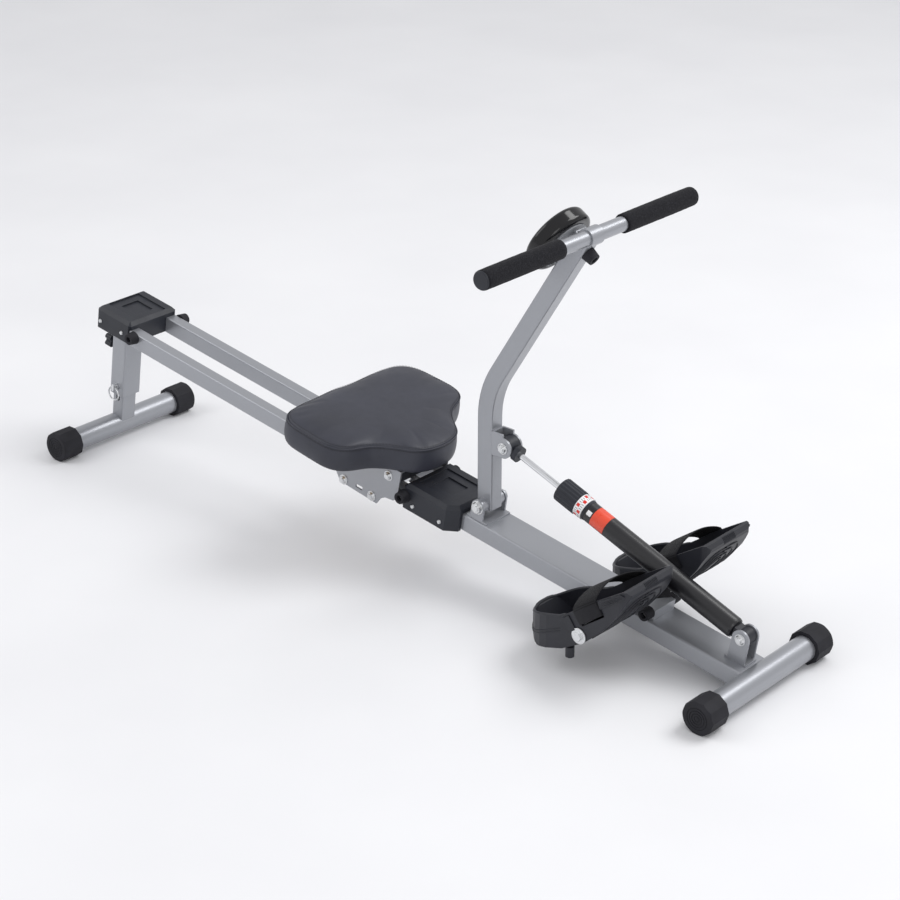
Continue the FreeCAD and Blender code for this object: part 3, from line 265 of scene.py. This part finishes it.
def wood(name):
    made = Shader(name, 0.7)
    grain = made.noise(30, 6, (1, 9, 1))
    made.colours(grain, [(0.3, (0.35, 0.22, 0.11)), (0.7, (0.6, 0.43, 0.25))])
    made.roughness(made.noise(80, 3), 0.6, 0.8)
    made.bump(grain, 0.2 * MM, 0.5)
    return made.material


MATERIALS = {
    "frame_paint": painted("frame_paint", (0.33, 0.34, 0.365)),
    "black_paint": painted("black_paint", (0.006, 0.006, 0.008), 0.0, 0.34),
    "zinc": metal("zinc", (0.72, 0.73, 0.74), 0.27),
    "dark_steel": metal("dark_steel", (0.32, 0.32, 0.33), 0.35),
    "chrome_rod": metal("chrome_rod", (0.85, 0.86, 0.88), 0.09, (1, 1, 1), 0.006),
    "black_plastic": plastic("black_plastic", (0.015, 0.017, 0.024), 0.44),
    "dark_plastic": plastic("dark_plastic", (0.015, 0.016, 0.022), 0.45),
    "white_plastic": plastic("white_plastic", (0.80, 0.80, 0.81), 0.4),
    "grey_plastic": plastic("grey_plastic", (0.30, 0.31, 0.33), 0.5),
    "gloss_black": plastic("gloss_black", (0.006, 0.006, 0.007), 0.13, 0.004, 300),
    "black_rubber": rubber("black_rubber", (0.014, 0.014, 0.018)),
    "grip_foam": foam("grip_foam"),
    "seat_vinyl": vinyl("seat_vinyl", (0.030, 0.032, 0.045)),
    "plywood": wood("plywood"),
    "webbing": webbing("webbing"),
    "red_label": label("red_label", (0.80, 0.07, 0.025)),
    "red_paint": plastic("red_paint", (0.62, 0.03, 0.02), 0.4),
    "display_lens": plastic("display_lens", (0.03, 0.04, 0.04), 0.08, 0.002, 200),
    "seam_thread": plastic("seam_thread", (0.03, 0.03, 0.035), 0.6, 0.1, 2500),
}
NODE_SLOTS = {entry["node"]: entry["material_slot"] for entry in frame["record"]["subparts"]}


def smooth_by_angle(mesh, degrees=35):
    """Smooth faces, with sharp edges wherever two faces meet at more than an angle."""
    mesh.polygons.foreach_set("use_smooth", [True] * len(mesh.polygons))
    work = bmesh.new()
    work.from_mesh(mesh)
    for edge in work.edges:
        edge.smooth = len(edge.link_faces) != 2 or edge.calc_face_angle(0) < math.radians(degrees)
    work.to_mesh(mesh)
    work.free()


def paint_nodes():
    for name, item in NODES.items():
        item.data.materials.clear()
        item.data.materials.append(MATERIALS[NODE_SLOTS[name]])


# ---------------------------------------------------------------- mesh helpers
def piece(name, vertices, faces, material, body, smooth=40):
    """A mesh piece in the row frame that rides on a body."""
    mesh = bpy.data.meshes.new(name)
    mesh.from_pydata([tuple(vertex) for vertex in vertices], [], faces)
    mesh.validate()
    work = bmesh.new()
    work.from_mesh(mesh)
    bmesh.ops.recalc_face_normals(work, faces=work.faces)
    work.to_mesh(mesh)
    work.free()
    if smooth:
        smooth_by_angle(mesh, smooth)
    item = bpy.data.objects.new(name, mesh)
    bpy.context.scene.collection.objects.link(item)
    mesh.materials.append(MATERIALS[material])
    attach(item, body)
    return item


class Shape:
    """Vertices and faces gathered for one piece."""

    def __init__(self):
        self.vertices = []
        self.faces = []

    def rings(self, rings, closed=False, caps=True):
        """A skin over rings of points. Closed joins the last ring to the first."""
        start = len(self.vertices)
        count = len(rings[0])
        for ring in rings:
            self.vertices += [Vector(point) for point in ring]
        spans = len(rings) if closed else len(rings) - 1
        for row in range(spans):
            after = (row + 1) % len(rings)
            for step in range(count):
                ahead = (step + 1) % count
                self.faces.append((start + row * count + step, start + row * count + ahead,
                                   start + after * count + ahead, start + after * count + step))
        if caps and not closed:
            self.faces.append(tuple(start + step for step in range(count)))
            self.faces.append(tuple(start + spans * count + step for step in range(count)))
        return self

    def tube(self, path, radius, sides=8, closed=False, up=ACROSS):
        """A round tube along a path, with drawn-in ends."""
        path = [Vector(point) for point in path]
        rings = []
        count = len(path)
        for index, point in enumerate(path):
            before = path[index - 1] if index or closed else point
            after = path[(index + 1) % count] if index + 1 < count or closed else point
            ahead = (after - before).normalized()
            side = ahead.cross(up).normalized()
            if side.length < 0.1:
                side = ahead.orthogonal().normalized()
            top = side.cross(ahead)
            thin = radius if closed or 0 < index < count - 1 else radius * 0.55
            rings.append([point + side * thin * math.cos(turn) + top * thin * math.sin(turn)
                          for turn in (2 * math.pi * step / sides for step in range(sides))])
        return self.rings(rings, closed)

    def block(self, centre, axes, half, edge):
        """A box with cut edges, given by its centre, three unit axes and half sizes."""
        rings = []
        for level, inset in ((-1, edge), (-1 + edge / half[2], 0), (1 - edge / half[2], 0), (1, edge)):
            wide, deep = half[0] - inset, half[1] - inset
            corners = [(-wide, -deep + edge), (-wide + edge, -deep), (wide - edge, -deep),
                       (wide, -deep + edge), (wide, deep - edge), (wide - edge, deep),
                       (-wide + edge, deep), (-wide, deep - edge)]
            rings.append([centre + axes[0] * x + axes[1] * y + axes[2] * half[2] * level
                          for x, y in corners])
        return self.rings(rings)

    def make(self, name, material, body, slot=None, smooth=40):
        return piece(name, self.vertices, self.faces, material, body, smooth)


# ---------------------------------------------------------------- seat cushion
SEAT_TURNS = 144
# Profile of the cushion: how far each row stands inside the CAD outline and its height above the CAD bottom,
# in millimetres. The rows below the seam come first.
SEAT_BOTTOM_ROWS = [(60, 0), (26, 0), (12, 0.2), (5.5, 1.0), (2.4, 3.4), (0.9, 8), (0.0, 15), (-0.2, 22),
                    (0.2, 30), (1.2, 37), (2.4, 40.4)]
SEAT_TOP_ROWS = [(3.0, 42.2), (3.6, 44.0), (6.2, 46.4), (11, 48.2), (18, 49.2), (30, 50.0), (48, 50.6),
                 (72, 51.0), (92, 51.1)]
# The seam and the two lines of stitches beside it, as rows of the same profile.
SEAM_ROW = (1.9, 41.4)
STITCH_ROWS = ((1.3, 38.4), (4.6, 45.5))
SWELL_LIMIT = 2.2 * MM
SWELL_FRAMES = 20


def seat_outline():
    """The cushion's outline in the rail frame at mid height, found by casting rays at its CAD solid."""
    tree = BVHTree.FromPolygons([vertex.co for vertex in NODES["seat_pad"].data.vertices],
                                [polygon.vertices[:] for polygon in NODES["seat_pad"].data.polygons])
    low, high = in_frame(RAIL, "seat_pad")
    middle = Vector(((low.x + high.x) / 2 - 6 * MM, 0, (low.z + high.z) / 2))
    ring = []
    for step in range(SEAT_TURNS):
        turn = 2 * math.pi * step / SEAT_TURNS
        away = Vector((math.cos(turn), math.sin(turn), 0))
        origin = RAIL @ (middle + away * 0.3)
        hit = tree.ray_cast(origin, (RAIL.to_3x3() @ -away))[0]
        ring.append(RAIL.inverted() @ hit)
    return middle, ring, low.z


def inset_ring(middle, ring, inset, height):
    """The outline drawn towards its middle by about an inset, and set at a height."""
    share = 1 - inset / (112 * MM)
    return [Vector((middle.x + (point.x - middle.x) * share, point.y * share, height)) for point in ring]


def seat_cushion():
    middle, ring, bottom = seat_outline()
    rows = [inset_ring(middle, ring, inset * MM, bottom + height * MM)
            for inset, height in SEAT_BOTTOM_ROWS + SEAT_TOP_ROWS]
    shape = Shape()
    shape.rings([[RAIL @ point for point in row] for row in rows], caps=False)
    count = len(ring)
    for row, height in ((0, rows[0][0].z), (len(rows) - 1, rows[-1][0].z + 0.1 * MM)):
        centre = len(shape.vertices)
        shape.vertices.append(RAIL @ Vector((middle.x, middle.y, height)))
        for step in range(count):
            shape.faces.append((row * count + step, row * count + (step + 1) % count, centre))
    cushion = shape.make("seat_cushion", "seat_vinyl", "seat", smooth=0)
    cushion.data.polygons.foreach_set("use_smooth", [True] * len(cushion.data.polygons))
    puff(cushion, len(SEAT_BOTTOM_ROWS), count, bottom)
    subdivide(cushion)
    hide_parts("seat_pad")
    seam = [RAIL @ point for point in inset_ring(middle, ring, SEAM_ROW[0] * MM, bottom + SEAM_ROW[1] * MM)]
    Shape().tube(seam, 1.1 * MM, 8, True, up=RAIL.to_3x3() @ Vector((0, 0, 1))).make(
        "seat_piping", "seat_vinyl", "seat")
    stitches = Shape()
    for inset, height in STITCH_ROWS:
        line = [RAIL @ point for point in inset_ring(middle, ring, inset * MM, bottom + height * MM)]
        dashes(stitches, line, 3.4 * MM, 1.5 * MM, 0.42 * MM)
    stitches.make("seat_stitches", "seam_thread", "seat", "seat_vinyl")


def dashes(shape, line, length, gap, radius):
    """Stitches along a closed line."""
    closed = line + line[:1]
    travelled = [0.0]
    for before, after in zip(closed, closed[1:]):
        travelled.append(travelled[-1] + (after - before).length)
    along = 0.0

    def at(distance):
        index = int(np.searchsorted(travelled, distance, side="right")) - 1
        index = min(max(index, 0), len(line) - 1)
        span = travelled[index + 1] - travelled[index]
        return closed[index].lerp(closed[index + 1], (distance - travelled[index]) / span)

    while along + length < travelled[-1]:
        ends = [at(along), at(along + length / 2), at(along + length)]
        shape.tube(ends, radius, 6)
        along += length + gap


def subdivide(item):
    """One level of smooth subdivision, kept in the mesh."""
    modifier = item.modifiers.new("smooth", "SUBSURF")
    modifier.levels = 1
    modifier.render_levels = 1
    apply_modifiers(item)


def apply_modifiers(item):
    """Keeps the shape that the modifiers make as the piece's own mesh."""
    graph = bpy.context.evaluated_depsgraph_get()
    mesh = bpy.data.meshes.new_from_object(item.evaluated_get(graph))
    item.modifiers.clear()
    old = item.data
    item.data = mesh
    bpy.data.meshes.remove(old)


def puff(item, seam_row, count, bottom):
    """Swells the cover a little between its seam and its base, with its seam and its base held."""
    held = item.vertex_groups.new(name="held")
    held.add(list(range(3 * count)), 1.0, "REPLACE")
    held.add(list(range((seam_row - 1) * count, (seam_row + 1) * count)), 0.9, "REPLACE")
    before = [vertex.co.copy() for vertex in item.data.vertices]
    cloth = item.modifiers.new("cloth", "CLOTH")
    cloth.settings.use_pressure = True
    cloth.settings.uniform_pressure_force = 4
    cloth.settings.vertex_group_mass = "held"
    cloth.settings.tension_stiffness = 25
    cloth.settings.compression_stiffness = 25
    cloth.settings.shear_stiffness = 8
    cloth.settings.bending_stiffness = 0.6
    cloth.settings.effector_weights.gravity = 0
    scene = bpy.context.scene
    cloth.point_cache.frame_start = 1
    cloth.point_cache.frame_end = SWELL_FRAMES
    for number in range(1, SWELL_FRAMES + 1):
        scene.frame_set(number)
    apply_modifiers(item)
    scene.frame_set(1)
    down = RAIL.inverted()
    for vertex, rest in zip(item.data.vertices, before):
        move = vertex.co - rest
        if move.length > SWELL_LIMIT:
            move = move.normalized() * SWELL_LIMIT
        place = down @ (rest + move)
        place.z = max(place.z, bottom)
        vertex.co = RAIL @ place


# ---------------------------------------------------------------- handlebar grips
def foam_grips():
    """Foam sleeves with soft ends; each swells a little between its ends."""
    low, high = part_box("foam_grips")
    centre = Vector(((low.x + high.x) / 2, 0, (low.z + high.z) / 2))
    radius = (high.x - low.x) / 2
    bar_low, bar_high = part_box("handlebar_tube")
    bar = (bar_high.x - bar_low.x) / 2
    start = min(abs(vertex.co.y) for vertex in NODES["foam_grips"].data.vertices)
    end = high.y
    rng = random.Random(7)
    for name, side in (("foam_grip_left", 1), ("foam_grip_right", -1)):
        profile = [(start, bar + 0.1 * MM), (start, radius - 2.2 * MM), (start + 0.6 * MM, radius - 0.9 * MM),
                   (start + 2 * MM, radius - 0.2 * MM)]
        steps = 26
        for step in range(1, steps):
            share = step / steps
            along = start + 2 * MM + (end - start - 4 * MM) * share
            profile.append((along, radius - 0.15 * MM + 0.25 * MM * math.sin(math.pi * share)
                            + rng.uniform(-0.12, 0.12) * MM))
        profile += [(end - 2 * MM, radius - 0.2 * MM), (end - 0.6 * MM, radius - 0.9 * MM),
                    (end, radius - 2.2 * MM), (end, bar + 0.1 * MM)]
        rings = []
        for along, wide in profile:
            rings.append([centre + Vector((wide * math.cos(turn), side * along, wide * math.sin(turn)))
                          for turn in (2 * math.pi * step / 40 for step in range(40))])
        shape = Shape()
        shape.rings(rings, closed=True)
        grip = shape.make(name, "grip_foam", "arm", smooth=50)
        if side > 0:
            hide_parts("foam_grips")


# ---------------------------------------------------------------- pedals
# Side outlines about the pedal axle, (X, Z) in millimetres.
RIM = [(-108.6, -3.5), (-103.3, -5.2), (-86, 2.5), (-66, 9.7), (-37, 17.5), (-25, 24.5), (-12, 34), (8, 50),
       (33, 67), (52, 79.5), (70, 91)]
FRONT_FACE = [(6.7, -9.8), (36.5, 17.5), (53.5, 37.8), (64.4, 52.5), (79.3, 80)]
GUARD = [(31, 63.5), (34, 66), (52, 77.5), (68, 88), (75.5, 86), (75, 83), (53, 67), (35, 53.5)]
SOLE_START, SOLE_RISE = (-65, -35), 0.889
SIDES = (("right", -1), ("left", 1))
INNER_WALL, OUTER_WALL = 36.5, 146.5
HEEL_BACK, HEEL_TURN = -109.1, 50
# The strap starts at a point of the rim and follows its slope.
STRAP_PLACE, STRAP_TURN = (-11, 34.5), math.radians(36.7)
STRAP_WIDTH, STRAP_THICKNESS = 49, 2.0
# The loose end of the right strap: its near and far edges, from the inner wall down over the beam.
TAIL_ROWS = [[(30, 35.2, 37), (60, 35.2, 55)], [(30.5, 32.5, 31), (63, 32.3, 50)],
             [(30, 28, 24), (67, 27.5, 43)], [(29, 22.5, 17.5), (71, 22, 36)]]
TAIL_THICKNESS = 1.7


def on_pedal(side, x, y, z):
    """A point in the row frame from millimetres about the pedal axle. Y runs outwards from the beam."""
    return AXLE @ Vector((x * MM, side * y * MM, z * MM))


def height_on(line, x):
    """Height of a side outline at some distance from the axle."""
    return float(np.interp(x, [point[0] for point in line], [point[1] for point in line]))


def sole_height(x):
    """Height of the top of the sole at some distance from the axle."""
    return SOLE_START[1] + (x - SOLE_START[0]) * SOLE_RISE


def plan_outline(inset, front):
    """Points around a pedal's wall from above: from the outer wall round the heel to the inner wall."""
    low, high = INNER_WALL + inset, OUTER_WALL - inset
    back, turn = HEEL_BACK + inset, HEEL_TURN - inset
    points = [(front - step * (front - back - turn) / 6, high) for step in range(6)]
    for middle, start in ((high - turn, 90), (low + turn, 180)):
        for step in range(0, 91, 10):
            angle = math.radians(start + step)
            points.append((back + turn + turn * math.cos(angle), middle + turn * math.sin(angle)))
    return points + [(back + turn + step * (front - back - turn) / 6, low) for step in range(1, 7)]


def strap_point(along, y, up):
    """A point of the strap: along the rim, across the pedal, and out from the rim's line."""
    x = STRAP_PLACE[0] + along * math.cos(STRAP_TURN) - up * math.sin(STRAP_TURN)
    z = STRAP_PLACE[1] + along * math.sin(STRAP_TURN) + up * math.cos(STRAP_TURN)
    return x, y, z


def band(shape, side, centres, width, thickness):
    """A strip of webbing along a line given across the pedal and out from the rim."""
    rings = []
    for index, (y, up) in enumerate(centres):
        before = centres[max(index - 1, 0)]
        after = centres[min(index + 1, len(centres) - 1)]
        ahead = Vector((after[0] - before[0], after[1] - before[1])).normalized()
        out = Vector((ahead.y, -ahead.x)) * thickness / 2
        ring = []
        for along, share in ((0, 0), (1.0, 1), (width * 0.5, 1.15), (width - 1.0, 1), (width, 0),
                             (width - 1.0, -1), (width * 0.5, -0.85), (1.0, -1)):
            ring.append(on_pedal(side, *strap_point(along, y + out.x * share, up + out.y * share)))
        rings.append(ring)
    shape.rings(rings)


def strap_line():
    """The webbing's middle: up the outer wall from its slot, over the rim, across and down the inner wall."""
    outer, inner, over_rim, arch = OUTER_WALL + 1.4, INNER_WALL - 1.4, 2.4, 13.5
    line = [(outer, -21), (outer + 0.1, -10), (outer, -2), (outer - 1.5, over_rim)]
    steps = 18
    for step in range(1, steps):
        share = step / steps
        line.append((outer - 1.5 + (inner + 1.5 - outer + 1.5) * share,
                     over_rim + arch * math.sin(math.pi * share) ** 0.8 * (1.12 - 0.24 * share)))
    return line + [(inner + 1.5, over_rim), (inner, -2), (inner - 0.1, -10), (inner, -19)]


def straps():
    """Webbing over each foot, and the loose end of the right one."""
    line = strap_line()
    for name, side in SIDES:
        shape = Shape()
        band(shape, side, line, STRAP_WIDTH, STRAP_THICKNESS)
        strap = shape.make(f"strap_{name}_web", "webbing", f"{name}_pedal", smooth=60)
        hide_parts(f"strap_{name}")
    tail = Shape()
    rings = []
    for near, far in TAIL_ROWS:
        near, far = Vector(near), Vector(far)
        lift = Vector((-0.5, 0, 0.85)) * TAIL_THICKNESS
        middle = near.lerp(far, 0.5)
        rings.append([on_pedal(-1, *point)
                      for point in (near, middle, far, far + lift, middle + lift, near + lift)])
    tail.rings(rings)
    loose = tail.make("strap_right_tail", "webbing", "right_pedal", smooth=60)


def pedal_details():
    for name, side in SIDES:
        for build, title in ((rim_bead, "rim_bead"), (heel_lines, "heel_lines"), (sole_ribs, "sole_ribs"),
                             (front_ribs, "front_ribs"), (toe_knurls, "toe_knurls"),
                             (wall_guard, "wall_guard"), (strap_tab, "strap_tab")):
            build(side).make(f"{title}_{name}", "dark_plastic", f"{name}_pedal")


def rim_bead(side):
    """The rounded rim of the heel cup."""
    line = [on_pedal(side, x, y, height_on(RIM, x) - 0.6) for x, y in plan_outline(2.0, -24)]
    return Shape().tube(line, 2.35 * MM, 10, up=Vector((0, 0, 1)))


def heel_lines(side):
    """Two raised lines round the heel cup, falling towards its back."""
    lines = Shape()
    for drop in (0, 4.2):
        line = [on_pedal(side, x, y, max(-26, -0.5 + (x + 34) * 0.47) - drop)
                for x, y in plan_outline(-0.1, -34)]
        lines.tube(line, 0.75 * MM, 8, up=Vector((0, 0, 1)))
    return lines


def sole_ribs(side):
    """Ribs along the sole, from the heel to the toe."""
    ribs = Shape()
    count, margin = 9, 12
    for step in range(count):
        y = INNER_WALL + margin + step * (OUTER_WALL - INNER_WALL - 2 * margin) / (count - 1)
        ribs.tube([on_pedal(side, x, y, sole_height(x) + 0.1) for x in (-44, -20, 5, 30, 50, 66.5)],
                  1.0 * MM, 8)
    return ribs


def front_ribs(side):
    """Arched ribs, one inside the other, on the front face."""
    ribs = Shape()
    for inset in (7, 18, 29, 40):
        ribs.tube(front_arch(side, inset), 1.25 * MM, 8)
    return ribs


def toe_knurls(side):
    """A knurled patch over the middle of the toe's lip."""
    knurls = Shape()
    over_lip = ((74.5, 91.6), (76.6, 91.2), (80.4, 86), (79.9, 82.5))
    for step in range(11):
        y = (INNER_WALL + OUTER_WALL) / 2 + (step - 5) * 2.6
        knurls.tube([on_pedal(side, x, y, z) for x, z in over_lip], 0.8 * MM, 6)
    return knurls


def wall_guard(side):
    """A raised strip with four ribs along the outer wall, from the strap to the toe."""
    guard = Shape()
    guard.rings([[on_pedal(side, x, y, z) for x, z in GUARD]
                 for y in (OUTER_WALL - 0.5, OUTER_WALL + 1.4)])
    for share in (0.2, 0.42, 0.64, 0.86):
        ends = [Vector(GUARD[upper]).lerp(Vector(GUARD[lower]), share)
                for upper, lower in ((0, 7), (2, 6), (3, 5))]
        guard.tube([on_pedal(side, x, OUTER_WALL + 1.5, z) for x, z in ends], 0.8 * MM, 8)
    return guard


def strap_tab(side):
    """The block behind the strap on the outer wall."""
    slope = [Vector((math.cos(STRAP_TURN), 0, math.sin(STRAP_TURN))), ACROSS,
             Vector((-math.sin(STRAP_TURN), 0, math.cos(STRAP_TURN)))]
    return Shape().block(on_pedal(side, -17, OUTER_WALL + 0.9, 13), slope,
                         (6 * MM, 1.6 * MM, 11.5 * MM), 1.0 * MM)


def front_arch(side, inset):
    """A rounded arch on a pedal's front face: up one side, across under the toe and down the other."""
    lengths = [0.0]
    for before, after in zip(FRONT_FACE, FRONT_FACE[1:]):
        lengths.append(lengths[-1] + math.dist(before, after))
    half = (OUTER_WALL - INNER_WALL) / 2 - inset
    base, rise = 14, lengths[-1] - 18 - inset * 0.8
    points = []
    for step in range(25):
        angle = math.pi * step / 24
        across = half * math.copysign(abs(math.cos(angle)) ** 0.55, math.cos(angle))
        along = base + rise * math.sin(angle) ** 0.55
        x = float(np.interp(along, lengths, [point[0] for point in FRONT_FACE]))
        z = float(np.interp(along, lengths, [point[1] for point in FRONT_FACE]))
        points.append(on_pedal(side, x + 0.35, (INNER_WALL + OUTER_WALL) / 2 + across, z - 0.35))
    return points


# ---------------------------------------------------------------- cylinder marks
def around(radius, turn, along):
    """A point on the cylinder: distance from its axis, turn about it and distance along it."""
    return CYLINDER @ Vector((along, radius * math.sin(turn), radius * math.cos(turn)))


def patch(shape, radius, turns, start, end, lift):
    """A thin curved plate on the cylinder."""
    steps = 8
    rings = []
    for along in (start, end):
        arc = [turns[0] + (turns[1] - turns[0]) * step / steps for step in range(steps + 1)]
        rings.append([around(radius + lift, turn, along) for turn in arc]
                     + [around(radius - 0.1 * MM, turn, along) for turn in reversed(arc)])
    shape.rings(rings)


def cylinder_marks():
    scale_marks()
    label_stripes()
    tube_low, tube_high = in_frame(CYLINDER, "cylinder_tube")
    label_end = in_frame(CYLINDER, "label_band")[1].x
    mark = Shape()
    patch(mark, (tube_high.y - tube_low.y) / 2, (math.radians(-132), math.radians(-105)),
          label_end + 2 * MM, label_end + 10 * MM, 0.2 * MM)
    mark.make("cylinder_mark", "white_plastic", "cylinder")


def scale_marks():
    """Red squares in turn on both halves of the scale ring, with black ticks beside them."""
    low, high = in_frame(CYLINDER, "scale_ring")
    radius = (high.y - low.y) / 2
    wide = high.x - low.x
    squares, ticks = Shape(), Shape()
    near_half, far_half = (0.14, 0.52), (0.52, 0.88)
    near_ticks, far_ticks = (0.14, 0.44), (0.56, 0.86)
    for step in range(12):
        turn = 2 * math.pi * step / 12
        square, tick = (near_half, far_ticks) if step % 2 else (far_half, near_ticks)
        patch(squares, radius, (turn - 0.14, turn + 0.14), low.x + square[0] * wide,
              low.x + square[1] * wide, 0.15 * MM)
        for share in (-0.2, 0.0, 0.2):
            middle = turn + share
            patch(ticks, radius, (middle - 0.018, middle + 0.018), low.x + tick[0] * wide,
                  low.x + tick[1] * wide, 0.12 * MM)
    squares.make("scale_squares", "red_paint", "cylinder", "white_plastic")
    ticks.make("scale_ticks", "black_plastic", "cylinder")


def label_stripes():
    """Plain stripes of uneven length on two sides of the label, in place of any lettering."""
    low, high = in_frame(CYLINDER, "label_band")
    radius = (high.y - low.y) / 2
    stripes = Shape()
    rng = random.Random(3)
    for step in range(6):
        along = low.x + (high.x - low.x) * (0.14 + 0.13 * step)
        for middle in (math.radians(-118), math.radians(62)):
            half = math.radians(rng.uniform(26, 40))
            patch(stripes, radius, (middle - half, middle + half), along, along + 0.9 * MM, 0.08 * MM)
    stripes.make("label_stripes", "white_plastic", "cylinder")


# ---------------------------------------------------------------- stage, light and camera
CAMERA_PLACE = (2.1811, -2.3734, 1.6476)
CAMERA_YAW = 131.37
CAMERA_PITCH = -24.64
CAMERA_LENS = 93.1


def stage():
    """A pale, even floor that runs far past the machine."""
    size = 9.0
    mesh = bpy.data.meshes.new("floor")
    corners = [(-size, -size, 0), (size, -size, 0), (size, size, 0), (-size, size, 0)]
    mesh.from_pydata(corners, [], [(0, 1, 2, 3)])
    floor = bpy.data.objects.new("floor", mesh)
    bpy.context.scene.collection.objects.link(floor)
    made = Shader("floor", 0.6)
    made.colours(made.noise(2.2, 3), [(0.3, (0.78, 0.783, 0.80)), (0.7, (0.82, 0.823, 0.838))])
    made.roughness(made.noise(3, 3), 0.5, 0.7)
    mesh.materials.append(made.material)


def light(name, place, energy, width):
    """A soft square lamp that faces the machine."""
    lamp = bpy.data.lights.new(name, "AREA")
    lamp.energy = energy
    lamp.size = width
    item = bpy.data.objects.new(name, lamp)
    item.location = place
    item.rotation_mode = "QUATERNION"
    item.rotation_quaternion = (Vector((0, 0, 0.2)) - Vector(place)).to_track_quat("-Z", "Y")
    bpy.context.scene.collection.objects.link(item)


def studio():
    world = bpy.data.worlds.new("studio")
    bpy.context.scene.world = world
    world.use_nodes = True
    world.node_tree.nodes["Background"].inputs["Color"].default_value = (0.98, 0.98, 1.0, 1)
    world.node_tree.nodes["Background"].inputs["Strength"].default_value = 0.72
    light("key", (1.6, 1.9, 3.4), 80, 2.2)
    light("fill", (-2.6, -2.2, 2.6), 36, 2.6)
    light("front", (2.8, -2.6, 2.2), 22, 2.0)
    view = bpy.context.scene.view_settings
    view.view_transform = "Standard"


def camera():
    data = bpy.data.cameras.new("camera")
    data.lens = CAMERA_LENS
    data.sensor_width = 36
    data.clip_end = 60
    item = bpy.data.objects.new("camera", data)
    yaw, pitch = math.radians(CAMERA_YAW), math.radians(CAMERA_PITCH)
    ahead = Vector((math.cos(pitch) * math.cos(yaw), math.cos(pitch) * math.sin(yaw), math.sin(pitch)))
    item.location = CAMERA_PLACE
    item.rotation_mode = "QUATERNION"
    item.rotation_quaternion = ahead.to_track_quat("-Z", "Y")
    bpy.context.scene.collection.objects.link(item)
    bpy.context.scene.camera = item


camera()
studio()
stage()
paint_nodes()
seat_cushion()
foam_grips()
straps()
pedal_details()
cylinder_marks()
